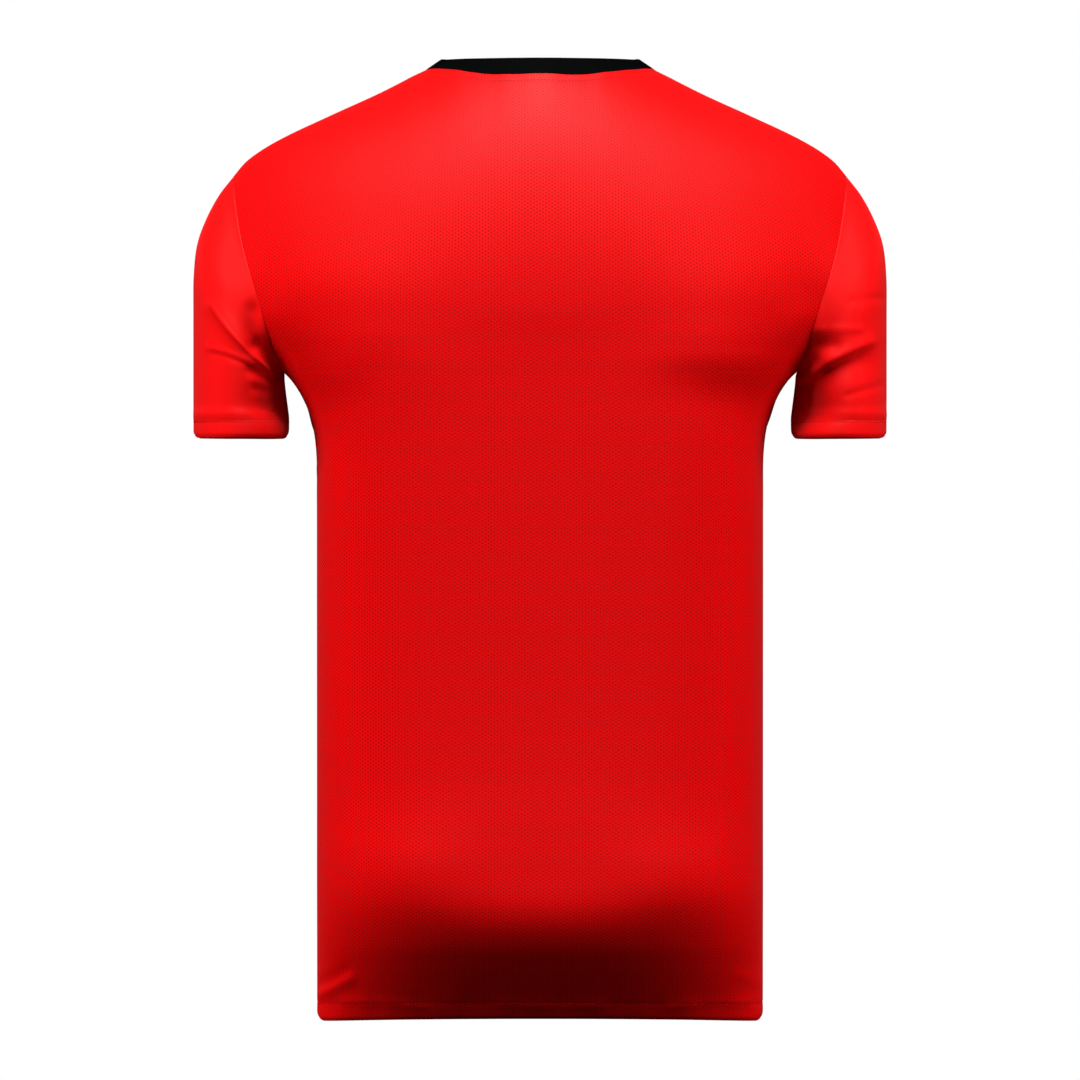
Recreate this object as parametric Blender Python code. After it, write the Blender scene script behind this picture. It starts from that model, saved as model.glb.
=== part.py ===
"""A short-sleeved football jersey, filled out as if worn, built as hollow cloth walls.

Metres, +Z up. The chest faces -Y and the wearer's left is +X. The origin lies midway
between the two points where the shoulder line meets the collar, where the wearer's
shoulders hold the jersey up. Heights in the tables are measured up from the hem.

Every cloth piece is a grid of points on its outer face and a second grid one wall
thickness inside it. The body's skin is a stack of rounded sections up to the chest
line, and above that an arch over the shoulder for each distance from the middle.
"""

import math
from collections import namedtuple

import bmesh
import bpy
from mathutils import Vector

# Driving sizes
BACK_LENGTH = 0.720  # nape seam down to the hem
WALL = 0.0015  # knitted cloth, as a solid wall
HEM_WALL = 0.0022  # turned hems are two layers thick
SEAM_GAP = 0.0003  # clear space between two sewn pieces
HEM_DEPTH = 0.014
CUFF_HEM_DEPTH = 0.0125
HEM_STEP = 0.0016  # height over which a hem's second layer ends
HEM_ROLL = 0.0020  # a hem's folded edge rolls in by this much
ROLL_HEIGHT = 0.0045

CHEST_HEIGHT = 0.540  # fullest level of the chest and shoulder blades
ARMPIT_HEIGHT = 0.4925
ARMPIT_REACH = 0.1950  # from the middle
ARMHOLE_HALF_DEPTH = 0.067  # front to back, at the chest line
SHOULDER_FORWARD = 0.012  # shoulder seams lie this far in front of the ridge

NECK_HALF_WIDTH = 0.089
NECK_BACK = 0.067  # nape seam behind the ridge
NECK_FRONT = 0.094  # throat seam in front of it
THROAT_SQUARENESS = 2.5  # plan of the neckline in front, where 2 is an ellipse
CHEST_SQUARENESS = 1.62  # of the arch in the middle of the front, straighter than 2
COLLAR_HEIGHT = 0.0145
COLLAR_WALL = 0.0024  # folded rib
COLLAR_LEAN = 36  # degrees in from upright, at the nape and throat
COLLAR_SIDE_LEAN = 70  # at the neck points, where it follows the shoulders
COLLAR_SWELL = 0.0003
FOLD_DROP, FOLD_INSET = 0.2, 0.55  # of half the rib's thickness, at its folded edge

# Grid counts
NECK_COLUMNS = 7  # from the middle of a panel to the neck point
SHOULDER_COLUMNS = 7  # from the neck point to the armhole
HALF_COLUMNS = NECK_COLUMNS + SHOULDER_COLUMNS
ARMPIT_ROWS = 5  # from the armpit to the chest line
ARCH_ROWS = 9  # from the chest line over the shoulder
SLEEVE_ROWS = 14
BACK_SPLIT = 2  # sleeve columns for each armhole point at the back, where the folds are
COLLAR_ROWS = 4

NECK_SHARE = NECK_COLUMNS / HALF_COLUMNS
NUDGE = 1e-4  # step for measuring a slope
MITRE_LIMIT = 1.6  # longest a wall's edge gets at a sharp seam, in wall thicknesses
REACH_ROUNDS = 24  # rounds that settle where the armhole crosses an arch
FOLD_ROWS = 3  # sleeve rows over which the folds grow, out from the armhole
SHARP_EDGE = math.radians(50)

Section = namedtuple("Section", "height half_width back_depth front_depth squareness")
TORSO = [
    Section(0.000, 0.1694, 0.0780, 0.0985, 2.45),
    Section(0.030, 0.1694, 0.0850, 0.1015, 2.45),
    Section(0.060, 0.1694, 0.0945, 0.1035, 2.50),
    Section(0.088, 0.1694, 0.1040, 0.1060, 2.60),
    Section(0.115, 0.1694, 0.1092, 0.1080, 2.70),
    Section(0.145, 0.1694, 0.1085, 0.1095, 2.80),
    Section(0.190, 0.1694, 0.1052, 0.1100, 2.95),
    Section(0.250, 0.1694, 0.1036, 0.1090, 3.10),
    Section(0.330, 0.1694, 0.1042, 0.1080, 3.30),
    Section(0.400, 0.1694, 0.1072, 0.1109, 3.55),
    Section(0.432, 0.1698, 0.1086, 0.1130, 3.65),
    Section(0.455, 0.1734, 0.1097, 0.1147, 3.60),
    Section(0.474, 0.1807, 0.1106, 0.1160, 3.40),
    Section(0.486, 0.1880, 0.1112, 0.1168, 3.20),
    Section(ARMPIT_HEIGHT, ARMPIT_REACH, 0.1115, 0.1172, 3.06),
    Section(0.515, 0.1950, 0.1128, 0.1183, 2.62),
    Section(CHEST_HEIGHT, ARMPIT_REACH, 0.1145, 0.1190, 2.30),
]
UP_TO_ARMPIT = TORSO[:-2]

# The armhole's distance from the middle, which ends the body above the armpit.
Armhole = namedtuple("Armhole", "height reach")
ARMHOLE = [
    Armhole(ARMPIT_HEIGHT, ARMPIT_REACH),
    Armhole(0.515, 0.2025),
    Armhole(0.540, 0.2110),
    Armhole(0.565, 0.2190),
    Armhole(0.590, 0.2255),
    Armhole(0.615, 0.2300),
    Armhole(0.640, 0.2335),
]
SHOULDER_REACH = ARMHOLE[-1].reach

# The top of the shoulder. Inside the neck it is the dome that the neckline is cut from.
Ridge = namedtuple("Ridge", "reach height")
RIDGE = [
    Ridge(-0.045, 0.7440),
    Ridge(0.000, 0.7575),
    Ridge(0.045, 0.7440),
    Ridge(NECK_HALF_WIDTH, 0.7215),
    Ridge(0.121, 0.7050),
    Ridge(0.160, 0.6872),
    Ridge(0.199, 0.6686),
    Ridge(0.222, 0.6537),
    Ridge(SHOULDER_REACH, 0.6405),
    Ridge(0.245, 0.6250),
]

# Sleeve rings, evenly numbered from the armhole to the cuff's turned hem: where each
# crosses the arm's outer line and the underarm line.
Ring = namedtuple("Ring", "number outer outer_height inner inner_height half_depth")
SLEEVE = [
    Ring(0, SHOULDER_REACH, 0.6405, ARMPIT_REACH, ARMPIT_HEIGHT, 0.0640),
    Ring(1, 0.2442, 0.6265, 0.1943, 0.4895, 0.0650),
    Ring(2, 0.2538, 0.6085, 0.1940, 0.4860, 0.0660),
    Ring(3, 0.2606, 0.5890, 0.1936, 0.4820, 0.0665),
    Ring(4, 0.2632, 0.5645, 0.1931, 0.4775, 0.0670),
    Ring(5, 0.2634, 0.5350, 0.1924, 0.4720, 0.0670),
    Ring(6, 0.2634, 0.5020, 0.1916, 0.4660, 0.0668),
    Ring(7, 0.2634, 0.4755, 0.1910, 0.4605, 0.0665),
    Ring(8, 0.2634, 0.4560, 0.1908, 0.4560, 0.0662),
]
CUFF_HEIGHT = 0.4423
SLEEVE_SQUARENESS = 2.15
ARMHOLE_FADE = 0.55  # share of the sleeve over which the armhole's own shape fades out
# Rows of the turned cuff, as (height above the edge, how far it rolls in)
CUFF_ROWS = ((CUFF_HEM_DEPTH - HEM_STEP, 0), (ROLL_HEIGHT, 0), (0, HEM_ROLL))

# Heights of the lower rows, hem to armpit. The turned hem ends at the third.
LOWER_ROWS = [
    0.0, ROLL_HEIGHT, HEM_DEPTH, HEM_DEPTH + HEM_STEP, 0.036, 0.058, 0.078, 0.095,
    0.112, 0.132, 0.160, 0.200, 0.260, 0.330, 0.390, 0.432, 0.462, 0.480,
    ARMPIT_HEIGHT,
]  # fmt: skip
HEM_ROWS = 3
ARMPIT_ROW = len(LOWER_ROWS) - 1

# Soft rises of the cloth over the figure, and hollows between them, on the back panel.
Rise = namedtuple("Rise", "x height across above below amount")
BACK_RISES = [
    Rise(0.135, 0.526, 0.060, 0.080, 0.026, 0.0052),  # over the left shoulder blade
    Rise(-0.142, 0.518, 0.054, 0.080, 0.020, 0.0066),  # over the right one
    Rise(-0.008, 0.540, 0.040, 0.100, 0.060, -0.0024),  # between them
    Rise(0.103, 0.132, 0.050, 0.034, 0.036, 0.0050),  # over the seat, left
    Rise(-0.106, 0.122, 0.050, 0.034, 0.032, 0.0046),  # and right
    Rise(0.000, 0.090, 0.130, 0.030, 0.030, 0.0034),  # a fuller fold low on the back
    Rise(0.000, -0.012, 0.120, 0.055, 0.060, -0.0185),  # hem falling in at the middle
]
SIDE_FADE = 0.06  # rises fade out over this depth, down to the side plane

# The largest folds of each sleeve, as straight lines seen from behind. A positive
# amount is a ridge and a negative one a trough.
Fold = namedtuple("Fold", "x height to_x to_height width amount")
LEFT_FOLDS = [
    Fold(0.250, 0.546, 0.203, 0.494, 0.0065, 0.0030),
    Fold(0.217, 0.538, 0.199, 0.500, 0.0085, -0.0055),
    Fold(0.251, 0.512, 0.220, 0.500, 0.0060, 0.0022),
    Fold(0.247, 0.503, 0.218, 0.492, 0.0070, -0.0024),
]
RIGHT_FOLDS = [
    Fold(0.212, 0.527, 0.252, 0.526, 0.0060, 0.0020),
    Fold(0.203, 0.516, 0.224, 0.515, 0.0085, -0.0045),
    Fold(0.222, 0.506, 0.250, 0.521, 0.0060, 0.0026),
    Fold(0.201, 0.487, 0.247, 0.511, 0.0065, -0.0050),
]
FOLD_FADE = 0.03  # folds fade out over this depth, towards the outer line of the arm

RED = (0.80, 0.006, 0.009, 1.0)
BLACK = (0.006, 0.006, 0.007, 1.0)


def read(rows, at, column):
    """A column's value at a place in a table, on a smooth curve through its rows. The
    table's first column says where each row stands."""
    keys = [row[0] for row in rows]
    values = [getattr(row, column) for row in rows]
    last = len(rows) - 1

    def slope(k):
        low, high = max(k - 1, 0), min(k + 1, last)
        return (values[high] - values[low]) / (keys[high] - keys[low])

    if at <= keys[0]:
        return values[0] + slope(0) * (at - keys[0])
    if at >= keys[last]:
        return values[last] + slope(last) * (at - keys[last])
    i = sum(key <= at for key in keys) - 1
    span = keys[i + 1] - keys[i]
    share = (at - keys[i]) / span
    square, cube = share**2, share**3
    return (
        values[i] * (2 * cube - 3 * square + 1)
        + slope(i) * span * (cube - 2 * square + share)
        + values[i + 1] * (3 * square - 2 * cube)
        + slope(i + 1) * span * (cube - square)
    )


def signed_power(value, power):
    return math.copysign(abs(value) ** power, value)


def blend(a, b, share):
    return a + (b - a) * share


def smooth(share):
    share = max(0.0, min(1.0, share))
    return share * share * (3 - 2 * share)


# The body's skin


def depth(height, back):
    return read(TORSO, height, "back_depth" if back else "front_depth")


def armhole_depth(height):
    """How far the armhole's edge is from the side plane, from the armpit to the chest."""
    down = (CHEST_HEIGHT - height) / (CHEST_HEIGHT - ARMPIT_HEIGHT)
    return ARMHOLE_HALF_DEPTH * math.sqrt(max(0.0, 1 - down * down))


def half_width(height, back):
    """Half width of the section that a panel follows. Above the armpit it is a wider
    one that would run on into the arm, so that the panel ends at the armhole."""
    if height <= ARMPIT_HEIGHT:
        return read(UP_TO_ARMPIT, height, "half_width")
    power = read(TORSO, height, "squareness")
    share = armhole_depth(height) / depth(height, back)
    return read(ARMHOLE, height, "reach") / (1 - share**power) ** (1 / power)


def edge_angle(height, back):
    """The section's angle where the panel ends: 0 at a side seam, more at an armhole."""
    if height <= ARMPIT_HEIGHT:
        return 0.0
    power = read(TORSO, height, "squareness")
    return math.asin((armhole_depth(height) / depth(height, back)) ** (power / 2))


def section_place(share, height, back):
    """(x, depth) at a share of the way round from the middle of a panel to its edge."""
    edge = edge_angle(height, back)
    angle = math.pi / 2 - share * (math.pi / 2 - edge)
    power = 2 / read(TORSO, height, "squareness")
    return (
        half_width(height, back) * signed_power(math.cos(angle), power),
        depth(height, back) * signed_power(math.sin(angle), power),
    )


def chest_depth(x, back):
    """The skin's distance from the side plane at the chest line."""
    power = TORSO[-1].squareness
    share = min(1.0, abs(x) / half_width(CHEST_HEIGHT, back))
    return depth(CHEST_HEIGHT, back) * (1 - share**power) ** (1 / power)


def arch_power(x, back):
    """The arch's squareness, where 2 is an ellipse."""
    return 2.0 if back else blend(CHEST_SQUARENESS, 2.0, smooth(abs(x) / SHOULDER_REACH))


def arch_point(x, angle):
    """A point of the skin above the chest line: angle 0 is at the back, pi in front."""
    back = math.cos(angle) >= 0
    power = 2 / arch_power(x, back)
    rise = read(RIDGE, abs(x), "height") - CHEST_HEIGHT
    y = chest_depth(x, back) * signed_power(math.cos(angle), power)
    return Vector((x, y, CHEST_HEIGHT + rise * signed_power(math.sin(angle), power)))


def arch_angle(x, y):
    """The angle at which the arch at x passes over y."""
    share = min(1.0, abs(y) / chest_depth(x, y >= 0))
    return math.acos(math.copysign(share ** (arch_power(x, y >= 0) / 2), y))


def armhole_reach(angle):
    """The armhole's distance from the middle, on the arch at that angle."""
    reach = SHOULDER_REACH
    for _ in range(REACH_ROUNDS):
        reach = read(ARMHOLE, arch_point(reach, angle).z, "reach")
    return reach


def top_place(share, back):
    """(x, y) of a panel's top edge, in plan: the neckline, then the shoulder seam."""
    if share >= NECK_SHARE:
        along = (share - NECK_SHARE) / (1 - NECK_SHARE)
        return blend(NECK_HALF_WIDTH, SHOULDER_REACH, along), -SHOULDER_FORWARD
    turn = math.pi / 2 * share / NECK_SHARE
    far = NECK_BACK + SHOULDER_FORWARD if back else SHOULDER_FORWARD - NECK_FRONT
    power = 1.0 if back else 2 / THROAT_SQUARENESS
    return (
        NECK_HALF_WIDTH * signed_power(math.sin(turn), power),
        far * signed_power(math.cos(turn), power) - SHOULDER_FORWARD,
    )


def panel_point(across, up, back):
    """A point of the smooth skin. across runs from -1 to 1 between a panel's edges. up
    is the height as far as the chest line, then CHEST_HEIGHT + 0 to 1 over the arch."""
    share, side = abs(across), math.copysign(1, across)
    if up <= CHEST_HEIGHT:
        x, y = section_place(share, up, back)
        return Vector((side * x, y if back else -y, up))
    climb = up - CHEST_HEIGHT
    top_x, top_y = top_place(share, back)
    start, turn = (0.0, 1) if back else (math.pi, -1)
    end = arch_angle(top_x, top_y)
    edge_end = arch_angle(SHOULDER_REACH, -SHOULDER_FORWARD)
    edge = armhole_reach(start + turn * climb * abs(edge_end - start))
    low = section_place(share, CHEST_HEIGHT, back)[0] / read(ARMHOLE, CHEST_HEIGHT, "reach")
    x = edge * blend(low, top_x / SHOULDER_REACH, smooth(climb))
    return arch_point(side * x, start + turn * climb * abs(end - start))


def rise_at(point):
    """How far the soft rises and hollows move the back panel outwards."""
    total = 0.0
    for rise in BACK_RISES:
        spread = rise.above if point.z > rise.height else rise.below
        tall = math.exp(-(((point.z - rise.height) / spread) ** 2))
        wide = math.exp(-(((point.x - rise.x) / rise.across) ** 2))
        total += rise.amount * tall * wide
    return total * smooth(point.y / SIDE_FADE)


def panel_rows():
    """The height of each row of a panel, as panel_point takes it."""
    drop = CHEST_HEIGHT - ARMPIT_HEIGHT
    turns = [math.pi / 2 * k / ARMPIT_ROWS for k in range(1, ARMPIT_ROWS + 1)]
    armpit = [CHEST_HEIGHT - drop * math.cos(turn) for turn in turns]
    arch = [CHEST_HEIGHT + k / ARCH_ROWS for k in range(1, ARCH_ROWS + 1)]
    return LOWER_ROWS + armpit + arch


def panel_grids(back):
    """The grid of a panel's outer face, and the grid of unit vectors pointing out."""
    outer, out = [], []
    for row, up in enumerate(panel_rows()):
        points, normals = [], []
        for column in range(-HALF_COLUMNS, HALF_COLUMNS + 1):
            across = column / HALF_COLUMNS
            point = panel_point(across, up, back)
            along = panel_point(across + NUDGE, up, back) - panel_point(across - NUDGE, up, back)
            upward = panel_point(across, up + NUDGE, back) - panel_point(across, up - NUDGE, back)
            away = upward.cross(along) if back else along.cross(upward)
            away.normalize()
            if row == 0:
                point -= away * HEM_ROLL
            if back:
                point += away * rise_at(point)
            points.append(point)
            normals.append(away)
        outer.append(points)
        out.append(normals)
    return outer, out


# The sleeves


def ring_point(place, angle):
    """A point of the plain sleeve: angle 0 at the underarm, pi on the outer line."""
    outer, outer_height, inner, inner_height, half_depth = (
        read(SLEEVE, place, column) for column in Ring._fields[1:]
    )
    inside, outside = Vector((inner, 0, inner_height)), Vector((outer, 0, outer_height))
    power = 2 / SLEEVE_SQUARENESS
    across = signed_power(-math.cos(angle), power)
    back = Vector((0, half_depth * signed_power(math.sin(angle), power), 0))
    return (inside + outside) / 2 + (outside - inside) / 2 * across + back


def ring_angle(point):
    """The angle on the first sleeve ring that is level with an armhole point."""
    inside, outside = ring_point(0, 0), ring_point(0, math.pi)
    axis = (outside - inside) / 2
    across = (point - (inside + outside) / 2).dot(axis) / axis.length_squared
    across = max(-1.0, min(1.0, across))
    angle = math.acos(-signed_power(across, SLEEVE_SQUARENESS / 2))
    return angle if point.y >= 0 else 2 * math.pi - angle


def flipped(vector, left):
    """The same place on the wearer's left, for something on their right."""
    return Vector((vector.x if left else -vector.x, vector.y, vector.z))


def armhole_ring(panels, left):
    """An armhole, as (point, outward vector) pairs on the wearer's left: from the armpit
    up the back, over the shoulder and down the front."""
    edge = -1 if left else 0
    edges = []
    for back in (True, False):
        rows = zip(*(grid[ARMPIT_ROW:] for grid in panels[back]))
        edges.append([[flipped(row[edge], left) for row in pair] for pair in rows])
    return edges[0][:-1] + edges[1][:0:-1]


def sleeve_columns(count):
    """Each sleeve column, as a distance round the armhole counted in its points."""
    columns = []
    for k in range(count):
        parts = BACK_SPLIT if k < count // 2 else 1
        columns += [k + part / parts for part in range(parts)]
    return columns


def between(items, at):
    """An item of a closed list at a whole or part number, on the chord between two."""
    low = math.floor(at)
    return items[low % len(items)].lerp(items[(low + 1) % len(items)], at - low)


def fold_at(folds, point):
    """How far the folds move the back of a sleeve outwards."""
    place = Vector((point.x, point.z))
    total = 0.0
    for fold in folds:
        start, end = Vector((fold.x, fold.height)), Vector((fold.to_x, fold.to_height))
        run = end - start
        along = max(0.0, min(1.0, (place - start).dot(run) / run.length_squared))
        off = (place - start - run * along).length
        total += fold.amount * math.exp(-((off / fold.width) ** 2))
    return total * smooth(point.y / FOLD_FADE)


def sleeve_grids(armhole, folds):
    """The grid of the left sleeve's outer face, and of unit vectors pointing out."""
    rim = [point for point, away in armhole]
    angles = [ring_angle(point) for point in rim]
    angles[0] = 0.0
    shapes = [point - ring_point(0, angle) for point, angle in zip(rim, angles)]

    def place(at, share):
        low = math.floor(at)
        turns = [angles[k % len(rim)] + 2 * math.pi * (k // len(rim)) for k in (low, low + 1)]
        own = between(shapes, at) * (1 - smooth(share / ARMHOLE_FADE))
        return ring_point(share * SLEEVE[-1].number, blend(*turns, at - low)) + own

    outer, out = [], []
    for row in range(SLEEVE_ROWS + 1):
        share = row / SLEEVE_ROWS
        points, normals = [], []
        for at in sleeve_columns(len(rim)):
            point = place(at, share) if row else between(rim, at)
            along = place(at + 0.5, share) - place(at - 0.5, share)
            down = place(at, share + NUDGE) - place(at, share - NUDGE)
            away = along.cross(down).normalized()
            point += away * fold_at(folds, point) * smooth(row / FOLD_ROWS)
            points.append(point)
            normals.append(away)
        outer.append(points)
        out.append(normals)
    hem_top = outer[-1]
    level = SLEEVE[-1].inner_height
    for height, roll in CUFF_ROWS:
        drop = Vector((0, 0, CUFF_HEIGHT + height - level))
        outer.append([point + drop - away * roll for point, away in zip(hem_top, normals)])
        out.append(normals)
    return outer, out


# Seams


def seam_direction(one, other):
    """The direction, and the length for a wall 1 thick, in which two sewn walls end."""
    both = (one + other).normalized()
    return both * min(MITRE_LIMIT, 1 / max(NUDGE, both.dot(one)))


def armhole_seam(armhole, sleeve):
    """The seam direction at each armhole point, from the panel's and the sleeve's."""
    sleeve_out = dict(zip(sleeve_columns(len(armhole)), sleeve[1][0]))
    return [seam_direction(away, sleeve_out[k]) for k, (point, away) in enumerate(armhole)]


def seam_shift(before, after, direction, toward):
    """Half a seam gap across the seam, to the side that toward points to."""
    across = (after - before).cross(direction).normalized()
    return across * math.copysign(SEAM_GAP / 2, across.dot(toward))


def seam_shifts(line, directions, towards, ring=False):
    """The shift of each point of a seam line."""
    last = len(line) - 1
    shifts = []
    for k, (direction, toward) in enumerate(zip(directions, towards)):
        before = line[k - 1] if ring or k else line[0]
        after = line[(k + 1) % len(line)] if ring or k < last else line[last]
        shifts.append(seam_shift(before, after, direction, toward))
    return shifts


def panel_seams(back):
    """Every seam of a panel, as its grid places and a function of a point that gives a
    vector towards the panel's own side of the seam."""
    top, left, right = ARMPIT_ROW + ARMPIT_ROWS + ARCH_ROWS, 0, 2 * HALF_COLUMNS
    neck_left, neck_right = HALF_COLUMNS - NECK_COLUMNS, HALF_COLUMNS + NECK_COLUMNS
    facing = Vector((0, 1 if back else -1, 0))

    def to_facing(point):
        return facing

    def to_middle(point):
        return Vector((-point.x, 0, 0))

    seams = [([(top, j) for j in range(neck_left, neck_right + 1)], from_neck)]
    for edge, neck in ((left, neck_left), (right, neck_right)):
        seams.append(([(i, edge) for i in range(ARMPIT_ROW + 1)], to_facing))
        seams.append(([(i, edge) for i in range(ARMPIT_ROW, top + 1)], to_middle))
        shoulder = range(min(edge, neck), max(edge, neck) + 1)
        seams.append(([(top, j) for j in shoulder], to_facing))
    return seams


def from_neck(point):
    return Vector((point.x, point.y + SHOULDER_FORWARD, 0))


# Building


def lift(point):
    """A height above the hem becomes a place below the origin."""
    return Vector((point.x, point.y, point.z - BACK_LENGTH))


def add_wall(name, outer, inner, ring, material):
    """A closed solid between two grids of points. ring: each row closes on itself."""
    rows, columns = len(outer), len(outer[0])
    mesh = bmesh.new()
    outside, inside = (
        [[mesh.verts.new(lift(point)) for point in row] for row in grid]
        for grid in (outer, inner)
    )
    for i in range(rows - 1):
        for j in range(columns if ring else columns - 1):
            k = (j + 1) % columns
            mesh.faces.new([outside[i][j], outside[i][k], outside[i + 1][k], outside[i + 1][j]])
            mesh.faces.new([inside[i][j], inside[i + 1][j], inside[i + 1][k], inside[i][k]])
    rims = [(0, j, 0, j + 1) for j in range(columns - 1)]
    rims += [(rows - 1, j, rows - 1, j + 1) for j in range(columns - 1)]
    if ring:
        rims += [(0, columns - 1, 0, 0), (rows - 1, columns - 1, rows - 1, 0)]
    else:
        rims += [(i, 0, i + 1, 0) for i in range(rows - 1)]
        rims += [(i, columns - 1, i + 1, columns - 1) for i in range(rows - 1)]
    for i, j, m, n in rims:
        mesh.faces.new([outside[i][j], inside[i][j], inside[m][n], outside[m][n]])
    bmesh.ops.recalc_face_normals(mesh, faces=mesh.faces)
    data = bpy.data.meshes.new(name)
    mesh.to_mesh(data)
    mesh.free()
    data.shade_smooth()
    data.set_sharp_from_angle(angle=SHARP_EDGE)
    data.materials.append(material)
    piece = bpy.data.objects.new(name, data)
    bpy.context.scene.collection.objects.link(piece)
    return piece


def inner_grid(outer, out, walls):
    """The inside of a wall, with one thickness for each row."""
    return [
        [point - away * wall for point, away in zip(points, normals)]
        for points, normals, wall in zip(outer, out, walls)
    ]


def build_panel(name, back, panels, seams, material):
    """A front or back panel, ending just short of every seam."""
    outer, out = panels[back]
    outer, out = [list(row) for row in outer], [list(row) for row in out]
    for left in (True, False):
        for step, i in enumerate(range(ARMPIT_ROW, len(outer))):
            shared = seams[left][step if back else -step]
            out[i][-1 if left else 0] = flipped(shared, left)
    inner = inner_grid(outer, out, [HEM_WALL] * HEM_ROWS + [WALL] * (len(outer) - HEM_ROWS))
    shifts = []
    for places, toward in panel_seams(back):
        line = [outer[i][j] for i, j in places]
        directions = [out[i][j] for i, j in places]
        moves = seam_shifts(line, directions, [toward(point) for point in line])
        shifts += zip(places, moves)
    for (i, j), move in shifts:
        outer[i][j] = outer[i][j] + move
        inner[i][j] = inner[i][j] + move
    return add_wall(name, outer, inner, False, material)


def build_sleeve(name, armhole, seams, grids, left, material):
    """A sleeve, from just outside the armhole to the open cuff."""
    outer, out = grids
    columns = sleeve_columns(len(armhole))
    out = [[between(seams, at) for at in columns]] + out[1:]
    inner = inner_grid(outer, out, [WALL] * (SLEEVE_ROWS + 1) + [HEM_WALL] * len(CUFF_ROWS))
    rim = [point for point, away in armhole]
    outward = [Vector((1, 0, 0))] * len(rim)
    moves = seam_shifts(rim, seams, outward, ring=True)
    for grid in (outer, inner):
        grid[0] = [point + between(moves, at) for point, at in zip(grid[0], columns)]
        grid[:] = [[flipped(point, left) for point in row] for row in grid]
    return add_wall(name, outer, inner, True, material)


def collar_section(start, foot, lean_in):
    """Points up the outside of the rib band, over its folded edge and down inside. foot
    is the outward vector of the panel that the band stands on."""
    lean = math.radians(blend(COLLAR_LEAN, COLLAR_SIDE_LEAN, lean_in.x**2))
    stand = lean_in * math.sin(lean) + Vector((0, 0, math.cos(lean)))
    face = (foot - stand * foot.dot(stand)).normalized()
    fold = COLLAR_WALL / 2
    outside, inside = [], []
    for k in range(COLLAR_ROWS):
        share = k / (COLLAR_ROWS - 1)
        up = stand * (COLLAR_HEIGHT - fold) * share
        swell = math.sin(math.pi * share) * COLLAR_SWELL
        outside.append(start + up + face * swell)
        inside.append(start + up - face * (COLLAR_WALL + swell))
    inside[0] = start - foot * COLLAR_WALL * min(MITRE_LIMIT, 1 / foot.dot(face))
    top = start + stand * (COLLAR_HEIGHT - fold * FOLD_DROP)
    outside.append(top - face * fold * FOLD_INSET)
    inside.append(top - face * fold * (2 - FOLD_INSET))
    return outside, inside


def build_collar(panels, material):
    """A rib band folded double, standing on the neck seam."""
    ring = []
    for back, columns in (
        (True, range(HALF_COLUMNS + NECK_COLUMNS, HALF_COLUMNS - NECK_COLUMNS, -1)),
        (False, range(HALF_COLUMNS - NECK_COLUMNS, HALF_COLUMNS + NECK_COLUMNS)),
    ):
        outer, out = panels[back]
        ring += [(outer[-1][j], out[-1][j]) for j in columns]
    line, directions = [point for point, away in ring], [away for point, away in ring]
    inward = [-from_neck(point).normalized() for point in line]
    moves = seam_shifts(line, directions, inward, ring=True)
    sections = [
        collar_section(point + move, away, lean)
        for point, move, away, lean in zip(line, moves, directions, inward)
    ]
    outer, inner = (
        [[section[side][k] for section in sections] for k in range(COLLAR_ROWS + 1)]
        for side in (0, 1)
    )
    return add_wall("collar", outer, inner, True, material)


def fabric(name, colour, roughness):
    material = bpy.data.materials.new(name)
    material.use_nodes = True
    shader = material.node_tree.nodes["Principled BSDF"]
    shader.inputs["Base Color"].default_value = colour
    shader.inputs["Roughness"].default_value = roughness
    shader.inputs["Metallic"].default_value = 0.0
    return material


def main():
    for old in list(bpy.data.objects):
        bpy.data.objects.remove(old, do_unlink=True)
    body_cloth = fabric("red_mesh_knit", RED, 0.62)
    sleeve_cloth = fabric("red_plain_knit", RED, 0.62)
    rib = fabric("black_rib", BLACK, 0.75)
    panels = {back: panel_grids(back) for back in (True, False)}
    armholes = {left: armhole_ring(panels, left) for left in (True, False)}
    sleeves = {
        True: sleeve_grids(armholes[True], LEFT_FOLDS),
        False: sleeve_grids(armholes[False], RIGHT_FOLDS),
    }
    seams = {left: armhole_seam(armholes[left], sleeves[left]) for left in (True, False)}
    build_panel("back", True, panels, seams, body_cloth)
    build_panel("front", False, panels, seams, body_cloth)
    for name, left in (("sleeve_left", True), ("sleeve_right", False)):
        build_sleeve(name, armholes[left], seams[left], sleeves[left], left, sleeve_cloth)
    build_collar(panels, rib)


main()
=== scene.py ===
"""The looks of a short-sleeved football jersey, filled out as if worn.

Metres, +Z up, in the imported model's own frame: the chest faces -Y, the wearer's left is
+X, and the origin lies between the two neck points. Heights in the tables are measured
up from the hem. Each cloth piece is one grid laid on the jersey's skin: creases move it
in and out, its hem folds up inside it, and its seam edges turn in beside the next
piece's. A Solidify modifier then gives the cloth its thickness.
"""

import math
from collections import namedtuple
from functools import lru_cache

import bmesh
import bpy
import numpy as np
from mathutils import Matrix, Vector


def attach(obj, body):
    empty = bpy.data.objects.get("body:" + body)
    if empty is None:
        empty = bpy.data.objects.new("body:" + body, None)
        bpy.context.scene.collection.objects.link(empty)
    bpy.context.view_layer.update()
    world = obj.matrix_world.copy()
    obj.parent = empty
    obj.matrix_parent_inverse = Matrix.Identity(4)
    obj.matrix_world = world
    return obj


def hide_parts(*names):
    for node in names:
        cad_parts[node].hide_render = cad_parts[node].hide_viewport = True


bl_info = {
    "name": "Football Jersey",
    "version": (1, 0, 0),
    "blender": (4, 5, 0),
    "location": "3D View > Sidebar > Jersey",
    "description": "Builds the cloth, sewing and stage of a short-sleeved football jersey",
    "category": "Add Mesh",
}

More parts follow.
